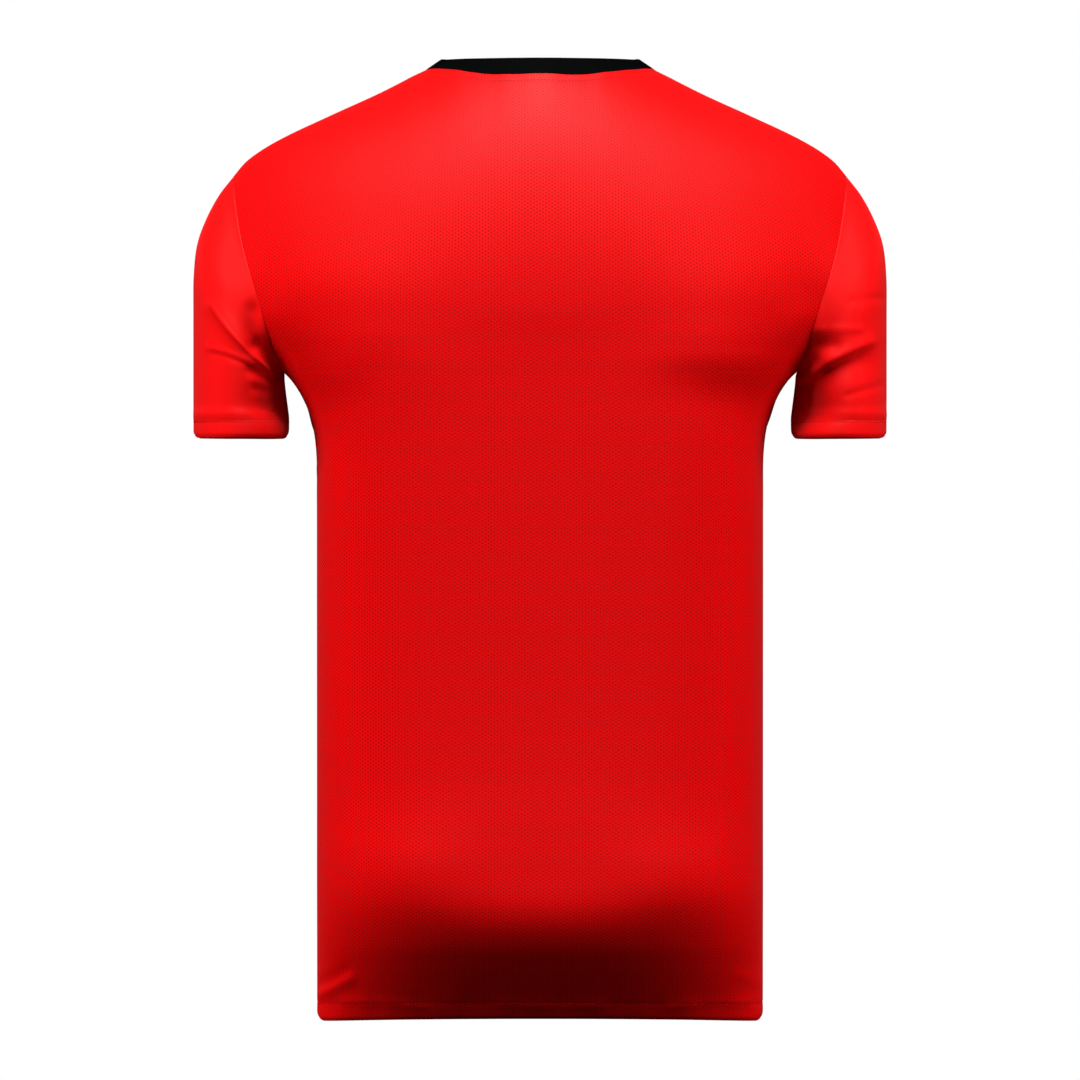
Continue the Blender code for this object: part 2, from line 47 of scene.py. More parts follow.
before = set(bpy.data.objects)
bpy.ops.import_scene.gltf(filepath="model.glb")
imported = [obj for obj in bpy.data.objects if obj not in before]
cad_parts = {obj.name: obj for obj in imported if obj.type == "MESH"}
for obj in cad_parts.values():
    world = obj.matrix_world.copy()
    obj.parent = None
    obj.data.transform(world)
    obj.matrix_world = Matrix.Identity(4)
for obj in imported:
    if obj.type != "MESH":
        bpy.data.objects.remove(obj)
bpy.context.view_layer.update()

# The jersey's skin, near the sizes of its solids

BACK_LENGTH = 0.720
CHEST_HEIGHT = 0.540
ARMPIT_HEIGHT = 0.4925
ARMPIT_REACH = 0.1950
ARMHOLE_HALF_DEPTH = 0.067
SHOULDER_FORWARD = 0.012
NECK_HALF_WIDTH = 0.089
NECK_BACK = 0.065
NECK_FRONT = 0.094
THROAT_SQUARENESS = 2.5
CHEST_SQUARENESS = 1.62
NECK_SHARE = 0.5  # of a panel's half width, at its top edge
SIDE_FADE = 0.06  # the body's rises fade out over this depth, down to the side plane
CREASE_FADE = 0.022  # and its creases over this one
SINK_LIFT, SINK_FADE = 0.3, 0.25  # low on the body the relief is nearly level
SLEEVE_FADE = 0.03  # a sleeve's relief fades out over this depth, towards its outer line
SLEEVE_SQUARENESS = 2.15
ARMHOLE_FADE = 0.55
CUFF_HEIGHT = 0.4423
COLLAR_HEIGHT = 0.0158
COLLAR_WALL = 0.0024
COLLAR_LEAN = 36
COLLAR_SIDE_LEAN = 55
COLLAR_LEVEL = 0.7299  # its top edge is level behind the nape

Section = namedtuple("Section", "height half_width back_depth front_depth squareness")
TORSO = [
    Section(0.000, 0.1694, 0.0725, 0.0985, 2.12),
    Section(0.015, 0.1694, 0.0795, 0.1000, 2.20),
    Section(0.030, 0.1694, 0.0866, 0.1015, 2.30),
    Section(0.045, 0.1694, 0.0936, 0.1026, 2.40),
    Section(0.060, 0.1694, 0.0998, 0.1037, 2.50),
    Section(0.088, 0.1694, 0.1072, 0.1060, 2.62),
    Section(0.115, 0.1694, 0.1092, 0.1080, 2.70),
    Section(0.145, 0.1694, 0.1086, 0.1095, 2.80),
    Section(0.190, 0.1694, 0.1066, 0.1100, 2.95),
    Section(0.250, 0.1694, 0.1058, 0.1090, 3.10),
    Section(0.330, 0.1694, 0.1068, 0.1080, 3.30),
    Section(0.400, 0.1694, 0.1083, 0.1109, 3.55),
    Section(0.432, 0.1698, 0.1090, 0.1130, 3.65),
    Section(0.455, 0.1734, 0.1095, 0.1147, 3.60),
    Section(0.474, 0.1807, 0.1099, 0.1160, 3.40),
    Section(0.486, 0.1880, 0.1102, 0.1168, 3.20),
    Section(ARMPIT_HEIGHT, ARMPIT_REACH, 0.1104, 0.1172, 3.06),
    Section(0.515, 0.1950, 0.1112, 0.1183, 2.62),
    Section(CHEST_HEIGHT, ARMPIT_REACH, 0.1122, 0.1190, 2.30),
]
# The body is fullest at the chest line, so its depths turn there.
TURNED = [*TORSO, TORSO[-2]._replace(height=2 * CHEST_HEIGHT - TORSO[-2].height)]
CHEST_LEAN_FADE = 0.035  # above the chest line, the lean of the sections fades out
EASE, EASE_SPREAD = 0.012, 0.036  # the armpit's bend is eased over these heights
EASE_STEPS = np.linspace(-0.024, 0.024, 13)
EASE_EDGE = 8  # and comes back sharply towards the panel's edge

Armhole = namedtuple("Armhole", "height reach")
ARMHOLE = [
    Armhole(ARMPIT_HEIGHT, ARMPIT_REACH),
    Armhole(0.515, 0.2025),
    Armhole(0.540, 0.2110),
    Armhole(0.565, 0.2190),
    Armhole(0.590, 0.2255),
    Armhole(0.615, 0.2300),
    Armhole(0.640, 0.2335),
]
SHOULDER_REACH = ARMHOLE[-1].reach

Ridge = namedtuple("Ridge", "reach height")
RIDGE = [
    Ridge(-0.045, 0.7440),
    Ridge(0.000, 0.7575),
    Ridge(0.045, 0.7440),
    Ridge(NECK_HALF_WIDTH, 0.7215),
    Ridge(0.121, 0.7050),
    Ridge(0.160, 0.6872),
    Ridge(0.199, 0.6686),
    Ridge(0.222, 0.6537),
    Ridge(SHOULDER_REACH, 0.6405),
    Ridge(0.245, 0.6250),
]

Ring = namedtuple("Ring", "number outer outer_height inner inner_height half_depth")
SLEEVE = [
    Ring(0, SHOULDER_REACH, 0.6405, ARMPIT_REACH, ARMPIT_HEIGHT, 0.0640),
    Ring(1, 0.2442, 0.6265, 0.1943, 0.4895, 0.0650),
    Ring(2, 0.2538, 0.6085, 0.1940, 0.4860, 0.0660),
    Ring(3, 0.2606, 0.5890, 0.1936, 0.4820, 0.0665),
    Ring(4, 0.2632, 0.5645, 0.1931, 0.4775, 0.0670),
    Ring(5, 0.2634, 0.5350, 0.1924, 0.4720, 0.0670),
    Ring(6, 0.2634, 0.5020, 0.1916, 0.4660, 0.0668),
    Ring(7, 0.2634, 0.4755, 0.1910, 0.4605, 0.0665),
    Ring(8, 0.2634, 0.4560, 0.1908, 0.4560, 0.0662),
]

# Soft rises of the back's cloth, and hollows between them. The front has none.
Rise = namedtuple("Rise", "x height across above below amount")
BACK_RISES = [
    Rise(0.135, 0.513, 0.060, 0.055, 0.044, 0.0050),  # fullness beside the left armhole
    Rise(-0.138, 0.507, 0.048, 0.055, 0.024, 0.0062),  # and beside the right one
    Rise(0.208, 0.562, 0.016, 0.026, 0.026, -0.0022),  # hollows along the armholes
    Rise(-0.200, 0.554, 0.018, 0.026, 0.022, -0.0025),
    Rise(0.103, 0.114, 0.050, 0.036, 0.034, 0.0048),  # fullness above the hem, left
    Rise(-0.106, 0.108, 0.050, 0.036, 0.030, 0.0046),  # and right
    Rise(0.000, 0.076, 0.130, 0.030, 0.024, 0.0034),  # a fuller fold low on the back
    Rise(0.000, -0.014, 0.175, 0.052, 0.060, -0.0195),  # hem falling in at the middle
]

# Creases, as lines given by x and height. A positive amount is a ridge and a negative
# one a trough. bow is how far the line's middle lies off its straight run, to the right
# as seen from in front, and steep narrows the cross-section on that side. The right
# sleeve's rows are given on the wearer's left, and flip over with the sleeve.
Crease = namedtuple("Crease", "x height to_x to_height width amount bow steep")
CUFF_RIDGE = Crease(0.262, 0.4605, 0.196, 0.4605, 0.0040, 0.0007, 0, 1)  # above the cuff
BACK_CREASES = [
    Crease(0.1710, 0.0185, 0.1450, 0.0335, 0.0032, 0.0017, 0, 1),  # beside the hem, left
    Crease(0.1710, 0.0265, 0.1480, 0.0400, 0.0040, -0.0010, 0, 1),
    Crease(-0.1700, 0.0300, -0.1520, 0.0360, 0.0045, 0.0005, 0, 1),  # and right
    Crease(0.1500, 0.0150, 0.0900, 0.0112, 0.0034, 0.0007, 0.0010, 1),  # along the hem
    Crease(0.0300, 0.0130, -0.0500, 0.0122, 0.0036, 0.0005, -0.0012, 1),
    Crease(-0.1000, 0.0118, -0.1600, 0.0146, 0.0034, 0.0006, 0.0010, 1),
    Crease(0.1200, 0.4900, 0.1650, 0.4700, 0.0200, -0.0007, 0.0030, 1),  # below the sleeves
    Crease(-0.1150, 0.4840, -0.1620, 0.4680, 0.0200, -0.0007, -0.0030, 1),
]
FRONT_CREASES = [
    Crease(0.1650, 0.4560, 0.1050, 0.5000, 0.0110, 0.0022, 0.0050, 1),  # from the armpits
    Crease(0.1640, 0.4380, 0.0980, 0.4700, 0.0100, -0.0018, 0.0060, 1),
    Crease(0.1640, 0.4200, 0.1100, 0.4330, 0.0130, 0.0012, 0.0030, 1),
    Crease(-0.1650, 0.4620, -0.1120, 0.4980, 0.0120, 0.0024, -0.0040, 1),
    Crease(-0.1640, 0.4420, -0.1040, 0.4640, 0.0100, -0.0016, -0.0050, 1),
    Crease(0.1620, 0.0180, 0.1420, 0.0360, 0.0045, 0.0012, 0, 1),  # beside the hem
    Crease(-0.1600, 0.0160, -0.1320, 0.0300, 0.0050, 0.0010, 0, 1),
    Crease(0.0600, 0.0800, -0.0400, 0.0700, 0.0220, 0.0020, 0.0060, 1),  # low in front
    Crease(0.0950, 0.6000, 0.1450, 0.5600, 0.0200, -0.0016, 0.0050, 1),  # below the shoulders
    Crease(-0.0900, 0.6060, -0.1480, 0.5700, 0.0220, -0.0014, -0.0050, 1),
]
LEFT_CREASES = [
    Crease(0.246, 0.541, 0.203, 0.493, 0.0060, 0.0014, -0.0020, 1),
    Crease(0.2475, 0.543, 0.199, 0.4905, 0.0017, 0.0010, -0.0045, 1),
    Crease(0.2155, 0.5120, 0.2165, 0.5380, 0.0060, -0.0024, 0, 1),
    Crease(0.2120, 0.5100, 0.2000, 0.4930, 0.0060, -0.0034, 0.0010, 1),
    Crease(0.251, 0.5105, 0.219, 0.4985, 0.0022, 0.0007, 0.0010, 1),
    Crease(0.247, 0.5060, 0.222, 0.4980, 0.0024, -0.0007, 0.0010, 1),
    Crease(0.218, 0.4930, 0.198, 0.4855, 0.0045, -0.0022, 0, 1),
    Crease(0.214, 0.4797, 0.194, 0.4780, 0.0040, -0.0012, 0, 1),
    Crease(0.186, 0.4640, 0.201, 0.4650, 0.0200, -0.0050, 0, 2),
    Crease(0.186, 0.4640, 0.193, 0.4650, 0.0200, -0.0030, 0, 2),
    CUFF_RIDGE,
]
RIGHT_CREASES = [
    Crease(0.208, 0.5240, 0.242, 0.5240, 0.0026, 0.0006, 0, 1),
    Crease(0.204, 0.5110, 0.221, 0.5120, 0.0060, -0.0022, 0, 1),
    Crease(0.218, 0.5000, 0.248, 0.5140, 0.0055, 0.0014, 0, 1),
    Crease(0.238, 0.5030, 0.188, 0.4790, 0.0140, -0.0042, 0, 5),
    Crease(0.193, 0.4880, 0.205, 0.5000, 0.0065, -0.0024, 0, 1),
    Crease(0.186, 0.4600, 0.203, 0.4610, 0.0220, -0.0066, 0, 2),
    Crease(0.186, 0.4600, 0.194, 0.4610, 0.0220, -0.0034, 0, 2),
    CUFF_RIDGE,
    Crease(0.236, 0.546, 0.258, 0.548, 0.0030, -0.0006, 0, 1),
    Crease(0.232, 0.474, 0.258, 0.482, 0.0030, -0.0006, 0, 1),
]
SLEEVE_FRONT_CREASES = {  # by whether it is the left sleeve
    True: [
        Crease(0.205, 0.5180, 0.240, 0.5330, 0.0060, 0.0020, 0.0020, 1),
        Crease(0.200, 0.5050, 0.246, 0.5190, 0.0055, -0.0024, 0.0020, 1),
        Crease(0.197, 0.4910, 0.232, 0.4985, 0.0050, 0.0016, 0, 1),
        Crease(0.192, 0.4650, 0.204, 0.4660, 0.0180, -0.0040, 0, 1),
        CUFF_RIDGE,
    ],
    False: [
        Crease(0.204, 0.5140, 0.234, 0.5330, 0.0060, 0.0018, -0.0020, 1),
        Crease(0.198, 0.4980, 0.244, 0.5150, 0.0060, -0.0026, 0.0020, 1),
        Crease(0.194, 0.4820, 0.226, 0.4900, 0.0050, 0.0012, 0, 1),
        Crease(0.192, 0.4660, 0.204, 0.4670, 0.0190, -0.0045, 0, 1),
        CUFF_RIDGE,
    ],
}

# The grids that the cloth is laid in
REACH_ROUNDS = 24  # rounds that settle where the armhole crosses an arch
PANEL_HALF_ARC = 0.240  # about half a panel's width, along the cloth
ARCH_ARC = 0.200  # about the length of cloth from the chest line to the shoulder seam
ARMHOLE_LOW_ARC = 0.090  # and of the armhole's edge from the armpit to the chest line
SLEEVE_ARC = 0.195  # and of the sleeve's outer line, down to the turned cuff
EVENNESS = 1.2  # evens out the grid round a section's corners
SLOPE_STEP = 1e-4  # for measuring a slope
EDGE_STEPS = (0.0002, 0.0006, 0.0011, 0.0018, 0.0028, 0.0042)  # grid lines beside a seam
HEM_ROWS = (
    0, 0.0020, 0.0034, 0.0052, 0.0076, 0.0100, 0.0118, 0.0126, 0.0132, 0.0138, 0.0148, 0.0165,
)  # fmt: skip
CUFF_ROWS = (
    0, 0.0020, 0.0034, 0.0052, 0.0076, 0.0098, 0.0110, 0.0118, 0.0124, 0.0130, 0.0137,
)  # fmt: skip
WELD = 1e-6
CLOTH_MAP = "cloth"  # UV map in metres of cloth

# How the cloth is sewn
ALLOWANCE_STEPS = (0.0010, 0.0028)  # depths of the seam allowance that turns in
SEAM_ROLL = 0.0006  # radius of the turn into a seam
SEAM_CLEARANCE = 0.00004  # between two allowances
HEM_DEPTH = 0.0142
CUFF_DEPTH = 0.0134
HEM_RADIUS = 0.0010  # of the fold at the hem's edge
HEM_TURN = 7  # grid lines round that fold
HEM_EDGE_ROLL = 0.0009  # hem and cuff roll in by this much at their edges
HEM_ROLL_HEIGHT = 0.0045
HEM_CORNER, CUFF_CORNER = 0.0046, 0.0033  # radii that their ends round with
CORNER_SPREAD = 4  # of those radii, the height over which the rounding fades out
HEM_STITCH = 0.0132  # stitching's height above the hem's edge
CUFF_STITCH = 0.0124  # and above the cuff's
NECK_STITCH = 0.0061  # topstitching's distance from the neck seam
NECK_GROOVE, HEM_GROOVE, CUFF_GROOVE = 0.00045, 0.0003, 0.00018  # depths
GROOVE_WIDTH = 0.0012
HEM_RIPPLE, HEM_RIPPLE_WIDTH = 0.0005, 0.009  # puckers beside a hem's stitches
CUFF_RIPPLE = 0.0004
NECK_RIPPLE, NECK_RIPPLE_WIDTH = 0.0006, 0.014
SEAM_FADE = 0.02  # a hem's puckers fade out over this depth, towards the side seams
CREASE_START = 0.025  # share of the sleeve over which its creases grow from the seam
COLLAR_ALLOWANCE = 0.0012
COLLAR_TURN = 8  # grid lines round the rib's fold
STITCH_UNEVENNESS = 0.12  # of a stitch's length
STITCH_WANDER = 0.0071  # length over which it comes and goes
STITCH_LIFT = 0.35  # of the thread's radius, out of the cloth
HOLE_RISE = 0.00012
BALL_SIDES, BALL_RINGS = 8, 6  # faces of a stitch
NECK_STITCH_SHARE, HEM_STITCH_SHARE = 0.6, 0.7  # a stitch's length, of its pitch

Wave = namedtuple("Wave", "length shift share")
RIPPLES = [Wave(0.061, 0.0, 0.45), Wave(0.037, 1.9, 0.35), Wave(0.018, 4.1, 0.2)]

# The knits. The grains of a noise are about one metre wide, over its scale.
EYELET_COLUMN = 0.00228  # from one column of pinholes to the next
EYELET_ROW = 0.00280
EYELET_RADIUS = 0.00050
EYELET_EDGE = (0.6, 1.4)  # of that radius, where a pinhole's soft edge starts and ends
KNIT_ROUGHNESS, EYELET_ROUGHNESS = 0.5, 0.85
SHEEN_ROUGHNESS = 0.4
MESH_GRAIN, PLAIN_GRAIN, RIB_GRAIN, THREAD_GRAIN = 700.0, 500.0, 900.0, 1500.0
MESH_GRAIN_SHARE = 0.25  # of the mesh knit's relief
WAVE_SCALE = 1 / 0.024  # of the wave texture, which draws a wave every 7.5 mm
WAVE_SHARE = 0.3  # of the plain knit's relief
RIB_LOOPS = 1.6  # times as light as the black beside them

# The stage
LIT_PLACE = (0.0, 0.05, -0.30)
KEY_PLACE, KEY_SIZE = (0.0, 2.4, 4.0), 2.6
LEFT_PLACE, LEFT_SIZE = (4.1, 1.2, 0.8), 2.4
RIGHT_PLACE, RIGHT_SIZE = (-4.1, 1.1, 0.7), 2.4
FLOOR_HEIGHT, FLOOR_RADIUS, FLOOR_SIDES = -1.47, 8.0, 96
SENSOR = 36.0  # the camera's, in millimetres
VIEW_END = 60
ROOM_LOW = -0.4  # how far down a direction points where the room's light starts to rise


# Arithmetic on arrays


def curve(rows, column, at):
    """A column of a table at places given by its first column, on a smooth curve."""
    keys = np.array([row[0] for row in rows])
    values = np.array([getattr(row, column) for row in rows])
    numbers = np.arange(len(rows))
    low, high = np.maximum(numbers - 1, 0), np.minimum(numbers + 1, len(rows) - 1)
    slopes = (values[high] - values[low]) / (keys[high] - keys[low])
    i = np.clip(np.searchsorted(keys, at, side="right") - 1, 0, len(rows) - 2)
    span = keys[i + 1] - keys[i]
    share = (at - keys[i]) / span
    inside = np.clip(share, 0, 1)
    square, cube = inside**2, inside**3
    beyond = np.where(share < 0, slopes[i], slopes[i + 1]) * (share - inside) * span
    return (
        values[i] * (2 * cube - 3 * square + 1)
        + slopes[i] * span * (cube - 2 * square + inside)
        + values[i + 1] * (3 * square - 2 * cube)
        + slopes[i + 1] * span * (cube - square)
        + beyond
    )


def signed_power(value, power):
    return np.sign(value) * np.abs(value) ** power


def blend(a, b, share):
    return a + (b - a) * share


def smooth(share):
    share = np.clip(share, 0, 1)
    return share * share * (3 - 2 * share)


def unit(vectors):
    return vectors / np.linalg.norm(vectors, axis=-1, keepdims=True)


def arc(points, axis):
    """Length along a grid's lines, from their first point to each point."""
    steps = np.linalg.norm(np.diff(points, axis=axis), axis=-1)
    start = np.zeros_like(np.take(steps, [0], axis=axis))
    return np.concatenate((start, np.cumsum(steps, axis=axis)), axis=axis)


def outward(points, ring):
    """Unit vectors out of a grid whose columns run to the right and rows upwards."""
    if ring:
        own = points[:, :-1]
        along = np.roll(own, -1, axis=1) - np.roll(own, 1, axis=1)
        along = np.concatenate((along, along[:, :1]), axis=1)
    else:
        along = np.gradient(points, axis=1)
    return unit(np.cross(along, np.gradient(points, axis=0)))


# The body's skin


def depth(height, back):
    return curve(TURNED, "back_depth" if back else "front_depth", height)


def armhole_depth(height):
    """How far the armhole's edge is from the side plane, from the armpit to the chest."""
    down = (CHEST_HEIGHT - height) / (CHEST_HEIGHT - ARMPIT_HEIGHT)
    return ARMHOLE_HALF_DEPTH * np.sqrt(np.maximum(0.0, 1 - down * down))


def half_width(height, back):
    """Half width of the section that a panel follows. Above the armpit it is a wider
    one that would run on into the sleeve."""
    power = curve(TURNED, "squareness", height)
    share = armhole_depth(height) / depth(height, back)
    above = curve(ARMHOLE, "reach", height) / (1 - share**power) ** (1 / power)
    below = curve(TORSO[:-2], "half_width", height)
    return np.where(height <= ARMPIT_HEIGHT, below, above)


def eased_half_width(height, back):
    """Half width of the section without its bend at the armpit, which only the panel's
    edge makes."""
    weights = np.exp(-((EASE_STEPS / EASE) ** 2))
    near = sum(
        weight * half_width(height + step, back) for weight, step in zip(weights, EASE_STEPS)
    )
    own = half_width(height, back)
    window = np.exp(-(((height - ARMPIT_HEIGHT) / EASE_SPREAD) ** 4))
    return own + (near / weights.sum() - own) * window


def section_place(share, height, back):
    """(x, depth) at a share of the way round from the middle of a panel to its edge."""
    power = curve(TURNED, "squareness", height)
    edge = np.arcsin((armhole_depth(height) / depth(height, back)) ** (power / 2))
    angle = np.pi / 2 - share * (np.pi / 2 - edge)
    wide = blend(eased_half_width(height, back), half_width(height, back), share**EASE_EDGE)
    return (
        wide * signed_power(np.cos(angle), 2 / power),
        depth(height, back) * signed_power(np.sin(angle), 2 / power),
    )


def skin_depth(x, height, back):
    """The skin's distance from the side plane, at a place across and a height."""
    power = curve(TURNED, "squareness", height)
    share = np.minimum(1.0, np.abs(x) / half_width(height, back))
    return depth(height, back) * (1 - share**power) ** (1 / power)


def chest_depth(x, back):
    """The skin's distance from the side plane at the chest line, for each flag in back."""
    return np.where(back, *(skin_depth(x, CHEST_HEIGHT, side) for side in (True, False)))


def arch_power(x, back):
    """The arch's squareness, where 2 is an ellipse."""
    front = blend(CHEST_SQUARENESS, 2.0, smooth(np.abs(x) / SHOULDER_REACH))
    return np.where(back, 2.0, front)


def arch_point(x, angle):
    """Points of the skin above the chest line: angle 0 is at the back, pi in front."""
    back = np.cos(angle) >= 0
    power = 2 / arch_power(x, back)
    rise = curve(RIDGE, "height", np.abs(x)) - CHEST_HEIGHT
    y = chest_depth(x, back) * signed_power(np.cos(angle), power)
    z = CHEST_HEIGHT + rise * signed_power(np.sin(angle), power)
    return np.stack((np.broadcast_to(x, z.shape), y, z), -1)


def arch_angle(x, y):
    """The angle at which the arch at x passes over y."""
    back = y >= 0
    share = np.minimum(1.0, np.abs(y) / chest_depth(x, back))
    return np.arccos(np.copysign(share ** (arch_power(x, back) / 2), y))


def armhole_reach(angle):
    """The armhole's distance from the middle, on the arch at that angle."""
    reach = np.full_like(angle, SHOULDER_REACH)
    for _ in range(REACH_ROUNDS):
        reach = curve(ARMHOLE, "reach", arch_point(reach, angle)[..., 2])
    return reach


def top_place(share, back):
    """(x, y) of a panel's top edge, in plan: the neckline, then the shoulder seam."""
    along = (share - NECK_SHARE) / (1 - NECK_SHARE)
    turn = np.pi / 2 * np.minimum(share / NECK_SHARE, 1)
    far = NECK_BACK + SHOULDER_FORWARD if back else SHOULDER_FORWARD - NECK_FRONT
    power = 1.0 if back else 2 / THROAT_SQUARENESS
    neck_x = NECK_HALF_WIDTH * signed_power(np.sin(turn), power)
    neck_y = far * signed_power(np.cos(turn), power) - SHOULDER_FORWARD
    shoulder = share >= NECK_SHARE
    return (
        np.where(shoulder, blend(NECK_HALF_WIDTH, SHOULDER_REACH, along), neck_x),
        np.where(shoulder, -SHOULDER_FORWARD, neck_y),
    )


def panel_surface(across, ups, back):
    """The smooth skin of a panel, in rows and columns. across runs between -1 and 1. ups
    are heights up to the chest line, then CHEST_HEIGHT + 0 to 1 over the arch."""
    share, side = np.abs(across), np.sign(across)
    low = ups[ups <= CHEST_HEIGHT][:, None]
    x, y = section_place(share, low, back)
    level = np.broadcast_to(low, x.shape)
    body = np.stack((side * x, y if back else -y, level), -1)
    climb = ups[ups > CHEST_HEIGHT][:, None] - CHEST_HEIGHT
    top_x, top_y = top_place(share, back)
    start, turn = (0.0, 1) if back else (np.pi, -1)
    end = arch_angle(top_x, top_y)
    edge_end = arch_angle(SHOULDER_REACH, -SHOULDER_FORWARD)
    edge = armhole_reach(start + turn * climb * abs(edge_end - start))
    first = section_place(share, CHEST_HEIGHT, back)[0] / curve(ARMHOLE, "reach", CHEST_HEIGHT)
    x = side * edge * blend(first, top_x / SHOULDER_REACH, smooth(climb))
    arch = arch_point(x, start + turn * climb * np.abs(end - start))
    lower = CHEST_HEIGHT - SLOPE_STEP
    lean = (skin_depth(x, CHEST_HEIGHT, back) - skin_depth(x, lower, back)) / SLOPE_STEP
    rise = arch[..., 2] - CHEST_HEIGHT
    swell = lean * rise * np.exp(-((rise / CHEST_LEAN_FADE) ** 2))
    arch[..., 1] += swell if back else -swell
    return np.concatenate((body, arch))


# Relief of the cloth


def rises_at(rises, points):
    """How far the soft rises and hollows move the cloth outwards."""
    x, z = points[..., 0], points[..., 2]
    total = np.zeros(x.shape)
    for rise in rises:
        spread = np.where(z > rise.height, rise.above, rise.below)
        tall = np.exp(-(((z - rise.height) / spread) ** 2))
        total += rise.amount * tall * np.exp(-(((x - rise.x) / rise.across) ** 2))
    return total


def creases_at(creases, points):
    """How far the creases move the cloth outwards. Each one fades in and out along
    its line."""
    x, z = points[..., 0], points[..., 2]
    total = np.zeros(x.shape)
    for crease in creases:
        run = np.array((crease.to_x - crease.x, crease.to_height - crease.height))
        length = np.hypot(*run)
        ahead = run / length
        dx, dz = x - crease.x, z - crease.height
        along = (dx * ahead[0] + dz * ahead[1]) / length
        inside = np.clip(along, 0, 1)
        off = dx * ahead[1] - dz * ahead[0] - crease.bow * 4 * inside * (1 - inside)
        off = np.where(off > 0, off * crease.steep, off)
        past = (along - inside) * length
        total += crease.amount * np.exp(-(off**2 + past**2) / crease.width**2)
    return total


# The sewn edges


def stepped(low, high, step):
    """Places from low to high, evenly spaced by about a step, without the last one."""
    return np.linspace(low, high, max(2, round((high - low) / step)), endpoint=False)


def seam_turn(distance):
    """How far a seam's turn draws the cloth in, at a distance from the seam."""
    left = np.clip(SEAM_ROLL - distance, 0, SEAM_ROLL)
    return SEAM_ROLL - np.sqrt(SEAM_ROLL**2 - left**2)


def edge_roll(height):
    """How far a hem rolls in at its edge."""
    return HEM_EDGE_ROLL * np.clip(1 - height / HEM_ROLL_HEIGHT, 0, 1) ** 2


def ripple(place, start):
    """The gentle unevenness of a sewn line, between about -1 and 1."""
    return sum(
        wave.share * np.sin(2 * np.pi * place / wave.length + wave.shift + start)
        for wave in RIPPLES
    )


def groove(distance, deep):
    """How far a row of stitches draws the cloth in, at a distance from the row."""
    return -deep * np.exp(-((distance / GROOVE_WIDTH) ** 2))


def line_distance(points, line):
    """Each point's distance from a line of straight runs."""
    nearest = np.full(points.shape[:-1], np.inf)
    for start, end in zip(line[:-1], line[1:]):
        run = end - start
        share = np.clip((points - start) @ run / (run @ run), 0, 1)
        off = points - start - share[..., None] * run
        nearest = np.minimum(nearest, np.einsum("...i,...i", off, off))
    return np.sqrt(nearest)


def towards_seam(length, step):
    """Shares of a length of cloth, evenly spaced and then closer up to the seam at 1."""
    edge = 1 - np.array(EDGE_STEPS[::-1] + (0.0,)) / length
    return np.concatenate((stepped(0, edge[0], step / length), edge))


Line = namedtuple("Line", "source height inset")


def hem_lines(heights, hem_depth):
    """The grid lines of a folded hem, from its raw edge inside to the cloth above it.
    Each follows a line of the outer surface, at a height and an inset of its own."""
    inside = [i for i, height in enumerate(heights) if 2 * HEM_RADIUS < height <= hem_depth]
    lines = [Line(i, heights[i], 2 * HEM_RADIUS) for i in reversed(inside)]
    for k in range(HEM_TURN + 1):
        angle = math.pi * k / HEM_TURN
        height = HEM_RADIUS * (1 - math.sin(angle))
        lines.append(Line(0, height, HEM_RADIUS * (1 + math.cos(angle))))
    outside = [i for i, height in enumerate(heights) if height > HEM_RADIUS]
    return lines + [Line(i, heights[i], 0.0) for i in outside]


Skin = namedtuple("Skin", "points away across up heights to_seam")


def corner_lift(x, heights, radius):
    """How far a hem's edge rounds upwards at its two ends, as seen from behind."""
    low, high = x[0].min(), x[0].max()
    past = np.clip(np.abs(x - (low + high) / 2) - (high - low) / 2 + radius, 0, radius)
    fade = np.clip(1 - heights / (CORNER_SPREAD * radius), 0, 1)[:, None]
    return (radius - np.sqrt(radius**2 - past**2)) * fade


def skin_of(points, heights, ring, relief):
    """A piece's outer surface, moved out by its relief."""
    away = outward(points, ring)
    if not ring:
        away[..., 2] *= blend(SINK_LIFT, 1, smooth(points[..., 2] / SINK_FADE))
    points = points + away * relief[..., None]
    radius = CUFF_CORNER if ring else HEM_CORNER
    points[..., 2] += corner_lift(points[..., 0], heights, radius)
    border, level = points[-1], heights <= CHEST_HEIGHT
    across, up = arc(points, 1), arc(points, 0)
    middle = across.shape[1] // 2
    if not ring:
        border = np.concatenate((points[:, 0], border[1:], points[-2::-1, -1]))
        chest = np.count_nonzero(level) - 1
        up = np.where(level[:, None], up[:, [middle]], up - up[chest] + up[chest, middle])
    return Skin(
        points,
        outward(points, ring),
        across - across[:, [middle]],
        up,
        heights,
        line_distance(points, border),
    )


